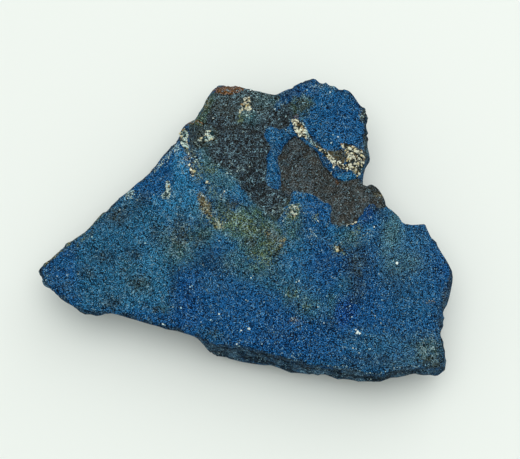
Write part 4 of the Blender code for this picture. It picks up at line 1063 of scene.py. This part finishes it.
def break_surface(mesh, placed, share, distance, inward, resting):
    """Grains on the crust, ledges and steps on the broken walls, cracks and crests where they are drafted."""
    normals = numbers_of(mesh.vertex_normals, "vector", 3)
    u, v = on_sheet(placed)
    masks = masks_on(u, v)
    wu, wv = wander(u, v, 3)
    su, sv = u + 0.45 * (wu - u), v + 0.45 * (wv - v)
    upward = smooth((share - 0.86) / 0.12)
    grey = upward * smooth(0.5 + inside_by(su, sv, GREY_PATCH) / 4.0)
    bare = upward * smooth(0.5 + inside_by(su, sv, BARE_PATCH) / 2.5)
    cream = upward * masks["cream"]
    crusted = upward * (1 - np.maximum(grey * 0.6, bare)) * (1 - cream)

    lift = np.zeros(len(placed))
    # the crust: swellings, then packed grains of two sizes
    lift += crusted * (0.10 * layered(placed, 3.4, 11) + 0.085 * waves(placed, 1.3, 14))
    lift += crusted * 0.03 * waves(placed, 0.62, 15)
    near_grain, gap, number, _ = grains(placed, 0.46, 21)
    lift += crusted * (0.35 + 0.65 * number) * 0.055 * (0.75 - near_grain**2)
    lift -= crusted * 0.035 * (1 - smooth(gap / 0.25))
    # pits where the crust has worn thin
    worn = smooth((layered(placed, 0.9, 41) - 0.15) / 0.35)
    lift -= crusted * masks["speck"] * worn * 0.13
    # grey rock: small crystal faces
    _, gap, number, offset = grains(placed, 0.58, 61)
    tilt = np.stack([number - 0.5, (number * 7.13) % 1.0 - 0.5], axis=1)
    faces = 0.07 * (number - 0.5) + 0.12 * (offset[:, :2] * tilt).sum(axis=1)
    lift += grey * (1 - bare) * (faces + 0.03 * waves(placed, 0.5, 63))
    # bare rock: smooth, a little pitted
    lift += bare * (0.05 * layered(placed, 1.8, 71) + 0.03 * waves(placed, 0.5, 73))
    pit = grains(placed, 1.5, 81)[0]
    lift -= bare * 0.10 * smooth((0.24 - pit) / 0.14)
    # cream crystals: blocky heaps
    _, gap, number, offset = grains(placed, 0.46, 91)
    tilt = np.stack([number - 0.5, (number * 5.37) % 1.0 - 0.5], axis=1)
    blocks = 0.26 * number + 0.34 * (offset[:, :2] * tilt).sum(axis=1) - 0.10 * (1 - smooth(gap / 0.3))
    # how high each heap of cream crystals stands, low in its gaps: used only to paint shade between them
    heap_for_shade = np.clip(0.15 + 1.1 * number, 0, 1) * (0.25 + 0.75 * smooth(gap / 0.22))
    lift += cream * (0.03 + 0.75 * blocks)
    # drafted cracks and crests
    for height, width, path in CRACKS:
        k = near(u, v, path, 4 * width + 4)
        away = from_path(su[k], sv[k], path) / width
        lift[k] += upward[k] * height * np.exp(-(away**2))

    # broken rock on the walls and underside: blocky steps, and ledges that follow the slab
    wall = (1 - upward) * ~resting
    _, gap, number, offset = grains(placed * [1.0, 1.0, 1.6], 1.5, 101)
    tilt = np.stack([number - 0.5, (number * 9.7) % 1.0 - 0.5, (number * 3.3) % 1.0 - 0.5], axis=1)
    steps = 0.22 * (number - 0.5) + 0.20 * (offset * tilt).sum(axis=1)
    bend = placed[:, 2] + 0.55 * waves(placed, 6.0, 103) + 0.10 * waves(placed, 1.2, 104)
    beds = [np.abs(((bend / size) % 1.0) - 0.5) * 2 for size in (2.1, 0.85, 0.37)]
    ledge = 0.09 * beds[0] + 0.05 * beds[1] + 0.02 * beds[2]
    standing = smooth(distance < 0.4) * smooth(1 - np.abs(normals[:, 2]) / 0.8)
    lift += wall * (steps * 1.15 + 0.09 * layered(placed, 0.9, 105) + 0.05 * waves(placed, 0.4, 107))
    lift += wall * standing * 2.8 * (ledge - 0.07)
    # bands that follow the ledges, for painted shade in their hollows and painted light on their crests
    bedding_light_and_shade = np.clip(0.5 * beds[0] + 0.5 * beds[1] + 0.35 * waves(placed, 2.2, 108), 0, 1)

    # the rim is jagged
    moved = placed + normals * lift[:, None]
    jag = 0.15 * waves(placed, 1.0, 121) + 0.14 * waves(placed, 0.48, 122) - 0.06
    moved[:, :2] += inward * (jag * np.clip(1.2 - distance, 0, 1) * smooth((share - 0.25) / 0.3))[:, None]
    moved = within_outline(moved, distance)
    crest = top_height(moved[:, 0], moved[:, 1]) - 0.24 * np.clip(1 - distance / 1.3, 0, 1) ** 2
    moved[:, 2] = np.minimum(moved[:, 2], crest + 0.10 + 0.60 * smooth((distance - 0.3) / 1.2))
    moved[resting, 2] = 0.0
    moved[:, 2] = np.maximum(moved[:, 2], np.where(resting, 0.0, 0.012))
    mesh.vertices.foreach_set("co", moved.astype(np.float32).ravel())
    mesh.update()

    rock = 1 - smooth((share - 0.80 - 0.10 * layered(placed, 1.6, 111)) / 0.09)
    # darker along the rim: dark broken rock, with painted shade on the edge
    dark_rim_and_shade = 1 - smooth((distance + 0.02 + 0.30 * waves(placed, 1.1, 113)) / 0.36)
    rock = np.where(resting, 1.0, rock)
    # the worn rims keep their stain down to the widest part of the wall, the undercut rim shows its rock
    worn_rim = masks["rim"] * smooth((share - 0.66 + 0.30 * layered(placed, 2.6, 112) + 0.16 * layered(placed, 0.7, 114)) / 0.14)
    rock = rock * (1 - worn_rim)
    rock = np.maximum(rock, masks["broken"] * upward)
    dark_rim_and_shade = np.maximum(dark_rim_and_shade * (1 - 0.7 * worn_rim), 0)
    upward = np.maximum(upward, worn_rim)
    kept = {f"of_{name}": masks[name] * upward for name in (
        "navy", "royal", "azure", "cyan", "sky", "slate", "ash", "teal", "pale_teal", "moss",
        "olive", "umber", "tan", "rust", "cream", "frost", "ochre", "speck", "pale_fibre_and_glint",
    )}
    # painted shade under the near rim
    kept["of_undercut_shade"] = masks["gap"] * smooth((share - 0.12) / 0.2)
    kept["of_bedding_light_and_shade"] = bedding_light_and_shade
    kept |= {"of_heap_shade": heap_for_shade, "of_grey": grey * (1 - bare), "of_bare": bare, "of_rock": rock, "of_dark_rim_and_shade": dark_rim_and_shade}
    for name, values in kept.items():
        attribute = mesh.attributes.new(name, "FLOAT", "POINT")
        attribute.data.foreach_set("value", values.astype(np.float32))


def make_stone():
    contour = Contour()
    mesh = through_modifier(
        slab(contour), "REMESH", mode="VOXEL", voxel_size=CELL, adaptivity=0.0
    )
    break_surface(mesh, *shape_stone(mesh, contour))
    triangles = sum(1 for _ in mesh.polygons) * 2
    mesh = through_modifier(
        mesh, "DECIMATE", decimate_type="COLLAPSE", ratio=min(1.0, TRIANGLES / triangles)
    )
    bm = bmesh.new()
    bm.from_mesh(mesh)
    bmesh.ops.triangulate(bm, faces=bm.faces)
    bmesh.ops.scale(bm, vec=(0.001, 0.001, 0.001), verts=bm.verts)
    bm.to_mesh(mesh)
    bm.free()
    mesh.name = "aerinite_crusted_stone"
    mesh.shade_smooth()
    stone = bpy.data.objects.new("aerinite_crusted_stone", mesh)
    bpy.context.scene.collection.objects.link(stone)
    return stone


# ---------------------------------------------------------------- materials
def linear(colour):
    """The shader's colour for one given as it looks, 0 to 255."""
    value = np.array(colour, float) / 255
    value = np.where(value > 0.04045, ((value + 0.055) / 1.055) ** 2.4, value / 12.92)
    return (*np.clip(value * GAIN, 0, 1), 1.0)


GAIN = 1.05


class Shader:
    """A material's node tree, built a node at a time."""

    def __init__(self, name):
        self.material = bpy.data.materials.new(name)
        self.material.use_nodes = True
        self.tree = self.material.node_tree
        self.shader = self.tree.nodes["Principled BSDF"]
        place = self.tree.nodes.new("ShaderNodeTexCoord")
        scale = self.tree.nodes.new("ShaderNodeVectorMath")
        scale.operation = "SCALE"
        scale.inputs["Scale"].default_value = 1000.0
        self.tree.links.new(place.outputs["Object"], scale.inputs[0])
        self.place = scale.outputs["Vector"]

    def put(self, value, socket):
        if isinstance(value, bpy.types.NodeSocket):
            self.tree.links.new(value, socket)
        else:
            socket.default_value = value

    def math(self, operation, a, b=0.0, c=0.0, clamp=False):
        node = self.tree.nodes.new("ShaderNodeMath")
        node.operation = operation
        node.use_clamp = clamp
        for value, socket in zip((a, b, c), node.inputs):
            self.put(value, socket)
        return node.outputs[0]

    def mix(self, factor, a, b, kind="MIX"):
        node = self.tree.nodes.new("ShaderNodeMix")
        node.data_type = "RGBA"
        node.blend_type = kind
        self.put(factor, node.inputs[0])
        self.put(a, node.inputs[6])
        self.put(b, node.inputs[7])
        return node.outputs[2]

    def spread(self, value, low, high, to_low=0.0, to_high=1.0):
        node = self.tree.nodes.new("ShaderNodeMapRange")
        node.interpolation_type = "SMOOTHSTEP"
        self.put(value, node.inputs[0])
        for number, socket in zip((low, high, to_low, to_high), node.inputs[1:5]):
            self.put(number, socket)
        return node.outputs[0]

    def held(self, name):
        node = self.tree.nodes.new("ShaderNodeAttribute")
        node.attribute_name = name
        return node.outputs["Fac"]

    def noise(self, size, detail=2.0, rough=0.5, vector=None):
        node = self.tree.nodes.new("ShaderNodeTexNoise")
        node.inputs["Scale"].default_value = 1.0 / size
        node.inputs["Detail"].default_value = detail
        node.inputs["Roughness"].default_value = rough
        self.tree.links.new(vector or self.place, node.inputs["Vector"])
        return node.outputs["Fac"]

    def cells(self, size, vector=None):
        """The distance to the nearest grain's middle, over size, and three random numbers of that grain."""
        node = self.tree.nodes.new("ShaderNodeTexVoronoi")
        node.inputs["Scale"].default_value = 1.0 / size
        self.tree.links.new(vector or self.place, node.inputs["Vector"])
        part = self.tree.nodes.new("ShaderNodeSeparateColor")
        self.tree.links.new(node.outputs["Color"], part.inputs[0])
        return node.outputs["Distance"], *part.outputs[:3]

    def ramp(self, value, stops):
        node = self.tree.nodes.new("ShaderNodeValToRGB")
        self.put(value, node.inputs[0])
        bar = node.color_ramp
        while len(bar.elements) < len(stops):
            bar.elements.new(0.5)
        for element, (place, colour) in zip(bar.elements, stops):
            element.position = place
            element.color = colour
        return node.outputs[0]

    def bump(self, height, strength, distance):
        node = self.tree.nodes.new("ShaderNodeBump")
        node.inputs["Strength"].default_value = strength
        node.inputs["Distance"].default_value = distance
        self.put(height, node.inputs["Height"])
        return node.outputs["Normal"]


def stone_material():
    s = Shader("aerinite_on_dolerite")
    look = {name: linear(colour) for name, colour in COLOURS.items()}
    a_gap, a1, a2, a3 = s.cells(0.145)
    _, b1, b2, b3 = s.cells(0.31)
    broad = s.noise(6.0, 3.0, 0.55)
    middle = s.noise(1.3, 1.0, 0.5)
    small = s.noise(0.36, 2.0, 0.6)

    def shaded(colour, factor):
        return tuple(min(1.0, c * factor) for c in colour[:3]) + (1.0,)

    def tones(name, dark=0.6, light=1.5, by=None):
        """A colour with its own light and dark grains."""
        return s.mix(by or a2, shaded(look[name], dark), shaded(look[name], light))

    def stain(colour, name, to, strength=0.9, grit=0.5, low=0.25, high=0.80):
        """Mixes in a drafted colour, grain by grain: more grains take it where there is more of it."""
        chance = s.math("MULTIPLY_ADD", s.held(f"of_{name}"), 1.0, -0.5 * grit + 0.10)
        for value, share in ((a2, 0.45), (b3, 0.20), (middle, 0.35)):
            chance = s.math("MULTIPLY_ADD", value, share * grit, chance)
        there = s.spread(s.held(f"of_{name}"), 0.02, 0.20, 0.0, strength)
        return s.mix(s.math("MULTIPLY", s.spread(chance, low, high), there), colour, to)

    def wash(colour, name, to, strength=0.9, drift=0.9):
        """Mixes in a drafted colour as a soft drift with no edge of its own."""
        uneven = s.math("MULTIPLY_ADD", middle, drift, 1.0 - 0.5 * drift)
        uneven = s.math("ADD", uneven, s.math("MULTIPLY_ADD", a2, 0.5, -0.25))
        amount = s.math("MULTIPLY", s.held(f"of_{name}"), uneven, clamp=True)
        return s.mix(s.math("MULTIPLY", amount, strength), colour, to)

    # the blue: broad drifts of tone, then grain by grain
    tone = s.math("MULTIPLY_ADD", broad, 0.60, 0.20)
    tone = s.math("ADD", tone, s.math("MULTIPLY_ADD", middle, 0.30, -0.15))
    tone = s.math("ADD", tone, s.math("MULTIPLY_ADD", b1, 0.10, -0.05))
    colour = s.ramp(tone, [
        (0.10, look["navy"]), (0.40, look["blue"]), (0.62, look["blue"]), (0.95, look["bright"]),
    ])
    colour = wash(colour, "royal", tones("royal", 0.75, 1.3), 0.80)
    colour = wash(colour, "azure", tones("azure", 0.75, 1.3), 0.85)
    colour = wash(colour, "cyan", tones("cyan", 0.6, 1.45), 0.9)
    colour = wash(colour, "sky", tones("sky", 0.55, 1.35), 0.85)
    colour = wash(colour, "navy", tones("navy", 0.7, 1.4), 0.85)
    colour = wash(colour, "slate", tones("slate", 0.6, 1.7), 0.95, 1.4)

    # the grey crystalline rock, with pale laths
    laths = s.spread(s.noise(0.17, 2.0, 0.7), 0.58, 0.70)
    grey = s.mix(s.math("MULTIPLY", laths, 0.30), tones("grey", 0.55, 1.4), look["grey_pale"])
    edge = s.math("ADD", s.held("of_grey"), s.math("MULTIPLY_ADD", s.noise(0.60, 3.0, 0.6), 1.1, -0.55))
    edge = s.math("ADD", edge, s.math("MULTIPLY_ADD", a2, 0.3, -0.15))
    colour = s.mix(s.spread(edge, 0.40, 0.60), colour, grey)

    # the bare brown rock
    brown = s.mix(s.spread(s.noise(1.1, 3.0), 0.35, 0.65), look["brown_dark"], look["brown"])
    brown = s.mix(s.spread(b1, 0.80, 0.98, 0.0, 0.22), brown, look["grey_pale"])
    edge = s.math("ADD", s.held("of_bare"), s.math("MULTIPLY_ADD", s.noise(0.55, 3.0, 0.6), 0.9, -0.45))
    colour = s.mix(s.spread(edge, 0.40, 0.56), colour, brown)

    colour = wash(colour, "ash", tones("ash", 0.6, 1.4), 0.85, 0.6)
    colour = wash(colour, "teal", tones("teal", 0.5, 1.5), 0.90, 1.2)
    colour = wash(colour, "pale_teal", tones("pale_teal", 0.5, 1.5), 0.85, 0.9)
    colour = wash(colour, "moss", tones("moss", 0.32, 1.85), 0.90, 1.0)
    colour = stain(colour, "umber", tones("umber", 0.35, 1.7), 0.85, 0.9)
    colour = stain(colour, "olive", tones("olive", 0.24, 2.1), 0.80, 1.1)
    colour = stain(colour, "ochre", tones("ochre", 0.25, 1.5, a1), 0.85, 0.8)
    colour = stain(colour, "tan", tones("tan", 0.35, 1.7), 0.80, 1.2)
    colour = stain(colour, "rust", tones("rust", 0.45, 1.35, a1), 0.85, 0.8)

    # pale speckle and cream crystal ground, with painted shade between the crystal heaps
    dots = s.math("ADD", s.math("MULTIPLY", a2, 0.5), s.math("MULTIPLY", small, 0.9))
    amount = s.math("ADD", dots, s.math("MULTIPLY_ADD", s.held("of_frost"), 0.60, -1.0))
    colour = s.mix(s.spread(amount, 0.02, 0.25, 0.0, 0.75), colour, tones("frost", 0.5, 1.1))
    amount = s.math("ADD", s.held("of_cream"), s.math("MULTIPLY_ADD", small, 0.9, -0.45))
    amount = s.math("ADD", amount, s.math("MULTIPLY_ADD", b1, 0.5, -0.25))
    heap_shade = s.math("MULTIPLY_ADD", s.math("SUBTRACT", a2, 0.5), 0.40, s.held("of_heap_shade"))
    ground = s.mix(s.spread(b2, 0.62, 0.80, 0.0, 0.55), look["cream"], shaded(look["tan"], 1.25))
    # painted shade between the heaps: dark umber here, dark teal in the frosty mix below
    ground = s.mix(s.spread(heap_shade, 0.46, 0.70), shaded(look["umber"], 0.35), ground)
    frosty = s.spread(s.held("of_frost"), 0.2, 0.6)
    cold = s.mix(s.spread(heap_shade, 0.50, 0.72), shaded(look["teal"], 0.35), s.mix(b2, shaded(look["frost"], 1.1), shaded(look["pale_teal"], 1.3)))
    ground = s.mix(s.math("MULTIPLY", frosty, 0.75), ground, cold)
    creamy = s.spread(amount, 0.42, 0.62)
    colour = s.mix(creamy, colour, ground)

    # dark worn specks
    specks = s.math("ADD", s.noise(0.50, 2.0, 0.6), s.math("MULTIPLY_ADD", a2, 0.30, -0.15))
    specks = s.math("ADD", s.spread(specks, 0.50, 0.62), 0.25)
    colour = s.mix(s.math("MULTIPLY", specks, s.math("MULTIPLY", s.held("of_speck"), 0.92)), colour, look["speck"])

    # darker along the rim: dark broken rock, with painted shade on the edge
    dark_rim_and_shade = s.math("ADD", s.held("of_dark_rim_and_shade"), s.math("MULTIPLY_ADD", small, 0.9, -0.45))
    colour = s.mix(s.spread(dark_rim_and_shade, 0.40, 0.85, 0.0, 0.75), colour, tones("wall_dark", 0.7, 2.6, a1))

    # the broken walls and the underside, with streaks that follow the slab
    height = s.tree.nodes.new("ShaderNodeVectorMath")
    height.operation = "MULTIPLY"
    s.tree.links.new(s.place, height.inputs[0])
    height.inputs[1].default_value = (0.22, 0.45, 1.3)
    streak = s.noise(0.55, 3.0, 0.65, height.outputs["Vector"])
    wall = s.mix(s.spread(s.noise(2.0, 3.0, 0.6), 0.30, 0.68), look["wall_dark"], look["wall"])
    wall = s.mix(s.spread(s.noise(6.0, 3.0, 0.6), 0.50, 0.66, 0.0, 0.55), wall, look["blue"])
    wall = s.mix(s.spread(s.noise(3.6, 3.0, 0.65), 0.58, 0.72, 0.0, 0.50), wall, look["ochre"])
    _, k1, k2, _ = s.cells(1.6)
    wall = s.mix(0.42, wall, s.ramp(k1, [(0.0, shaded(look["wall_dark"], 0.7)), (0.5, look["wall"]), (1.0, shaded(look["wall_pale"], 0.55))]))
    wall = s.mix(s.spread(k2, 0.72, 0.90, 0.0, 0.35), wall, look["slate"])
    wall = s.mix(s.spread(streak, 0.52, 0.62, 0.0, 0.40), wall, look["wall_pale"])
    wall = s.mix(s.spread(streak, 0.47, 0.38, 0.0, 0.45), wall, shaded(look["wall_dark"], 0.5))
    # bands along the bedding: darker in the ledges' hollows as painted shade, paler on their crests as painted light
    bedding_light_and_shade = s.math("ADD", s.held("of_bedding_light_and_shade"), s.math("MULTIPLY_ADD", small, 0.5, -0.25))
    wall = s.mix(s.spread(bedding_light_and_shade, 0.48, 0.22, 0.0, 0.85), wall, shaded(look["wall_dark"], 0.5))
    wall = s.mix(s.spread(bedding_light_and_shade, 0.70, 0.92, 0.0, 0.45), wall, look["wall_pale"])
    wall = s.mix(s.spread(s.math("MULTIPLY_ADD", small, 0.4, a1), 1.08, 1.17, 0.0, 0.55), wall, look["pale_fibre_and_glint"])
    colour = s.mix(s.held("of_rock"), colour, wall)
    # painted shade under the near rim and on the wall below it
    colour = s.mix(s.math("MULTIPLY", s.held("of_undercut_shade"), 0.85), colour, look["gap"])
    plain_grain = s.math("SUBTRACT", 1.0, s.math("MULTIPLY", creamy, 0.6))

    # grain by grain, all over: each grain its own tone, with painted light in its middle and painted shade in the gap
    # round it; the palest take a painted glint
    bright = s.math("MULTIPLY", s.math("POWER", 6.0, a3), GRAIN_SHADE_AND_GLINT[0])
    bright = s.math("MULTIPLY", bright, s.spread(a_gap, 0.20, 0.66, 2.0, 0.08))
    calm = s.math("MULTIPLY", s.math("MULTIPLY_ADD", s.held("of_bare"), -0.10, 1.0), plain_grain)
    calm = s.math("MULTIPLY", calm, s.math("MULTIPLY_ADD", s.held("of_rock"), -0.40, 1.0))
    bright = s.math("MULTIPLY_ADD", s.math("SUBTRACT", bright, 1.0), calm, 1.0)
    part = s.tree.nodes.new("ShaderNodeVectorMath")
    part.operation = "SCALE"
    s.tree.links.new(colour, part.inputs[0])
    s.tree.links.new(s.math("MINIMUM", bright, GRAIN_SHADE_AND_GLINT[1]), part.inputs["Scale"])
    painted_glint = s.spread(bright, 1.0, 2.8, 0.0, GRAIN_SHADE_AND_GLINT[2])
    colour = s.mix(painted_glint, part.outputs["Vector"], look["glint"])
    # single grains with a painted sparkle of light
    painted_sparkle = s.math("MULTIPLY", s.spread(a1, 0.945, 0.975), s.spread(a_gap, 0.55, 0.30))
    painted_sparkle = s.math("MULTIPLY", painted_sparkle, s.math("MULTIPLY_ADD", s.held("of_rock"), -0.75, 1.0))
    painted_sparkle = s.math("MULTIPLY", s.math("MULTIPLY", painted_sparkle, calm), SPARKLE_GLINT)
    colour = s.mix(painted_sparkle, colour, look["pale_fibre_and_glint"])
    # thin pale fibres, each a short stroke with a painted glint
    _, _, chosen, _ = s.cells(0.52)
    pale_fibre_and_glint = s.math("ABSOLUTE", s.math("SUBTRACT", s.noise(0.42, 1.0, 0.5), 0.5))
    more = s.held("of_pale_fibre_and_glint")
    width = s.math("MULTIPLY_ADD", more, 0.030, 0.030)
    chosen = s.math("MULTIPLY_ADD", more, 0.30, chosen)
    pale_fibre_and_glint = s.math("MULTIPLY", s.spread(pale_fibre_and_glint, 0.0, width, 1.0, 0.0), s.spread(chosen, 0.45, 0.95, 0.0, 0.95))
    fibrous = s.math("ADD", s.math("MULTIPLY", s.held("of_grey"), 0.7), s.math("ADD", s.held("of_moss"), s.held("of_azure")))
    fibrous = s.math("ADD", fibrous, more)
    pale_fibre_and_glint = s.math("MULTIPLY", pale_fibre_and_glint, s.spread(fibrous, 0.0, 0.7, 0.35, 1.0))
    pale_fibre_and_glint = s.math("MULTIPLY", pale_fibre_and_glint, s.math("MULTIPLY_ADD", s.held("of_rock"), -0.6, 1.0))
    pale_fibre_and_glint = s.math("MULTIPLY", pale_fibre_and_glint, calm)
    colour = s.mix(pale_fibre_and_glint, colour, s.mix(more, look["pale_fibre_and_glint"], (0.50, 0.56, 0.42, 1.0)))

    s.tree.links.new(colour, s.shader.inputs["Base Color"])
    s.tree.links.new(s.spread(b1, 0.0, 1.0, 0.88, 0.55), s.shader.inputs["Roughness"])
    s.shader.inputs["Specular IOR Level"].default_value = 0.06
    s.shader.inputs["Metallic"].default_value = 0.0
    relief = s.math("ADD", s.noise(0.16, 2.0, 0.6), s.math("MULTIPLY", a1, 0.6))
    s.tree.links.new(s.bump(relief, 0.6, 0.00006), s.shader.inputs["Normal"])
    return s.material


# the grains' tone with their painted shade and light, its cap, and how much painted glint the palest take
GRAIN_SHADE_AND_GLINT = (0.385, 1.55, 0.22)
SPARKLE_GLINT = 0.75


def crystal_material(name, colours, shade, roughness, level):
    """Crystals whose colour runs along the given ones by each crystal's own number, with a shade in them."""
    s = Shader(name)
    stops = [(i / max(1, len(colours) - 1), linear(c)) for i, c in enumerate(colours)]
    colour = s.ramp(s.held("of_tint"), stops)
    colour = s.mix(s.noise(0.22, 2.0, 0.6), colour, s.mix(0.45, colour, shade))
    s.tree.links.new(colour, s.shader.inputs["Base Color"])
    s.tree.links.new(s.spread(s.noise(0.3, 1.0), 0.3, 0.7, roughness - 0.1, roughness + 0.15), s.shader.inputs["Roughness"])
    s.shader.inputs["Specular IOR Level"].default_value = level
    s.tree.links.new(s.bump(s.noise(0.10, 2.0), 0.3, 0.00003), s.shader.inputs["Normal"])
    return s.material


# ---------------------------------------------------------------- loose crystals
class Ground:
    """The finished stone's surface, to stand crystals on."""

    def __init__(self, stone):
        mesh = stone.data
        points = numbers_of(mesh.vertices, "co", 3) * 1000
        self.tree = BVHTree.FromPolygons(
            [Vector(p) for p in points], [tuple(p.vertices) for p in mesh.polygons]
        )
        self.eye = Vector(EYE)

    def under(self, u, v):
        """Where the line of sight through (u, v) meets the stone, and the stone's normal there."""
        x, y = on_height(u, v, TOP)
        place, normal, _, _ = self.tree.ray_cast(self.eye, (Vector((x, y, TOP)) - self.eye).normalized())
        return place, normal


def crystals(name, seats, seed, squareness=0.0):
    """Joined crystals. Each seat is a place, a normal, a size and a tint; each crystal is a block with its own corners."""
    bm = bmesh.new()
    if squareness:
        bmesh.ops.create_cube(bm, size=1.3)
    else:
        bmesh.ops.create_icosphere(bm, subdivisions=1, radius=0.75)
    bmesh.ops.triangulate(bm, faces=bm.faces)
    shape = np.array([v.co for v in bm.verts])
    faces = np.array([[v.index for v in f.verts] for f in bm.faces])
    bm.free()
    rng = np.random.default_rng(seed)
    count = len(seats)
    points = np.empty((count, len(shape), 3))
    tints = np.empty((count, len(shape)))
    for n, (place, normal, size, tint) in enumerate(seats):
        block = shape * (1 + 0.28 * rng.standard_normal((len(shape), 1)))
        block = block * (size / 2) * rng.uniform(0.7, 1.25, 3)
        turn, _ = np.linalg.qr(rng.standard_normal((3, 3)))
        if np.linalg.det(turn) < 0:
            turn[:, 0] *= -1
        points[n] = (block @ turn.T) * [1.0, 1.0, 0.75] + np.array(place) - np.array(normal) * size * 0.02
        tints[n] = tint
    all_faces = (faces[None] + (np.arange(count) * len(shape))[:, None, None]).reshape(-1, 3)
    mesh = bpy.data.meshes.new(name)
    mesh.from_pydata((points.reshape(-1, 3) * 0.001).tolist(), [], all_faces.tolist())
    attribute = mesh.attributes.new("of_tint", "FLOAT", "POINT")
    attribute.data.foreach_set("value", tints.astype(np.float32).ravel())
    mesh.update()
    piece = bpy.data.objects.new(name, mesh)
    bpy.context.scene.collection.objects.link(piece)
    return piece


def scatter(ground, rng, count, box, chance, sizes, tints):
    """Seats at random places on the sheet inside a box, kept by the chance there."""
    u = rng.uniform(box[0], box[2], count)
    v = rng.uniform(box[1], box[3], count)
    keep = rng.uniform(0, 1, count) < chance(u, v)
    seats = []
    for pu, pv in zip(u[keep], v[keep]):
        place, normal = ground.under(pu, pv)
        if place is None or normal.z < 0.3:
            continue
        seats.append((place, normal, sizes(rng), tints(rng)))
    return seats


def make_crystals(ground):
    rng = np.random.default_rng(7)

    def of(name):
        return lambda u, v: masks_on(u, v)[name]

    whole = (36, 76, 456, 384)
    # cream blocks, from clear white to rusty
    cream = scatter(
        ground, rng, 90000, whole, lambda u, v: np.clip(of("cream")(u, v) * 1.5 - 0.5, 0, 1) * (1 - 0.8 * np.clip(of("frost")(u, v) * 1.3, 0, 1)) * 0.30,
        lambda r: 0.16 + 0.30 * r.random() ** 2, lambda r: min(1.0, abs(r.normal(0, 0.55))),
    )
    frost = scatter(
        ground, rng, 60000, whole, lambda u, v: np.clip(of("frost")(u, v) - 0.25, 0, 1) * (0.28 + 0.30 * of("cream")(u, v)),
        lambda r: 0.12 + 0.18 * r.random() ** 2, lambda r: 0.9 * r.random(),
    )
    ochre = scatter(
        ground, rng, 60000, whole, lambda u, v: np.clip(of("ochre")(u, v) * 1.4 - 0.4, 0, 1) * 0.45,
        lambda r: 0.16 + 0.30 * r.random() ** 2, lambda r: 0.45 + 0.55 * r.random(),
    )

    def sparse(u, v):
        flat = np.stack([u, v, np.zeros(len(u))], axis=1)
        return 0.10 + 0.5 * smooth((layered(flat, 26.0, 131) - 0.1) / 0.5)

    dust = scatter(
        ground, rng, 2200, whole, sparse,
        lambda r: 0.07 + 0.08 * r.random() ** 3, lambda r: 0.45 + 0.55 * r.random(),
    )
    marked = []
    for u, v, size in FLECKS:
        place, normal = ground.under(u, v)
        if place is None:
            continue
        marked.append((place, normal, size * DRAFT_STEP * 1.05, (0.05 if size > 2.1 else 0.35) * (0.5 + rng.random())))
    print("crystals", len(cream), len(frost), len(ochre), len(dust), len(marked))

    cream_piece = crystals("cream_zeolite_crystals", cream, 17, squareness=1.0)
    cream_piece.data.materials.append(crystal_material(
        "cream_zeolite", [(234, 240, 224), (216, 216, 186), (196, 182, 128), (140, 112, 68), (70, 54, 36)],
        (0.25, 0.20, 0.11, 1.0), 0.45, 0.30))
    frost_piece = crystals("pale_zeolite_flecks", frost + dust + marked, 19)
    frost_piece.data.materials.append(crystal_material(
        "pale_zeolite", [(232, 242, 236), (164, 202, 208), (84, 132, 152)], (0.10, 0.22, 0.26, 1.0), 0.40, 0.30))
    ochre_piece = crystals("brown_granules", ochre, 23, squareness=1.0)
    ochre_piece.data.materials.append(crystal_material(
        "brown_granule", [(140, 130, 92), (92, 84, 56), (54, 50, 36)], (0.06, 0.05, 0.025, 1.0), 0.6, 0.2))
    return [cream_piece, frost_piece, ochre_piece]


# ---------------------------------------------------------------- stage
def make_floor():
    mesh = bpy.data.meshes.new("floor")
    bm = bmesh.new()
    bmesh.ops.create_grid(bm, x_segments=1, y_segments=1, size=0.5)
    bm.to_mesh(mesh)
    bm.free()
    floor = bpy.data.objects.new("floor", mesh)
    floor.location.z = -0.00003
    bpy.context.scene.collection.objects.link(floor)
    material = bpy.data.materials.new("pale_paper")
    material.use_nodes = True
    shader = material.node_tree.nodes["Principled BSDF"]
    shader.inputs["Base Color"].default_value = (0.785, 0.814, 0.783, 1.0)
    shader.inputs["Roughness"].default_value = 0.9
    shader.inputs["Specular IOR Level"].default_value = 0.1
    mesh.materials.append(material)


def area_light(name, place, target, size, power, colour=(1.0, 1.0, 1.0)):
    light = bpy.data.lights.new(name, "AREA")
    light.shape = "DISK"
    light.size = size
    light.energy = power
    light.color = colour
    obj = bpy.data.objects.new(name, light)
    obj.location = place
    obj.rotation_euler = (Vector(target) - Vector(place)).to_track_quat("-Z", "Y").to_euler()
    bpy.context.scene.collection.objects.link(obj)


def make_stage():
    make_floor()
    world = bpy.data.worlds.new("studio")
    world.use_nodes = True
    background = world.node_tree.nodes["Background"]
    background.inputs["Color"].default_value = (0.95, 1.0, 0.97, 1.0)
    background.inputs["Strength"].default_value = WORLD
    bpy.context.scene.world = world
    area_light("key", (0.0, 0.0, 0.72), (0.0, 0.0, 0.0), 0.80, KEY, (1.0, 0.995, 0.985))
    area_light("side", (0.395, 0.438, 0.413), (0.0, 0.0, 0.0), 0.80, SIDE, (1.0, 0.995, 0.985))
    camera = bpy.data.cameras.new("camera")
    camera.lens = EYE_DISTANCE / DRAFT_STEP * 36.0 / 520
    camera.sensor_width = 36.0
    camera.clip_start = 0.01
    eye = bpy.data.objects.new("camera", camera)
    eye.location = tuple(EYE * 0.001)
    eye.rotation_euler = (math.pi / 2 - EYE_ELEVATION, 0.0, 0.0)
    bpy.context.scene.collection.objects.link(eye)
    bpy.context.scene.camera = eye
    bpy.context.scene.view_settings.view_transform = "Standard"


WORLD = 0.62
KEY = 2.70
SIDE = 1.49


# ---------------------------------------------------------------- the scene
def main():
    make_stage()
    stone = make_stone()
    stone.data.materials.clear()
    stone.data.materials.append(stone_material())
    pieces = [stone, *make_crystals(Ground(stone))]
    for piece in pieces:
        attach(piece, "root")
    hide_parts("aerinite_stone")


main()
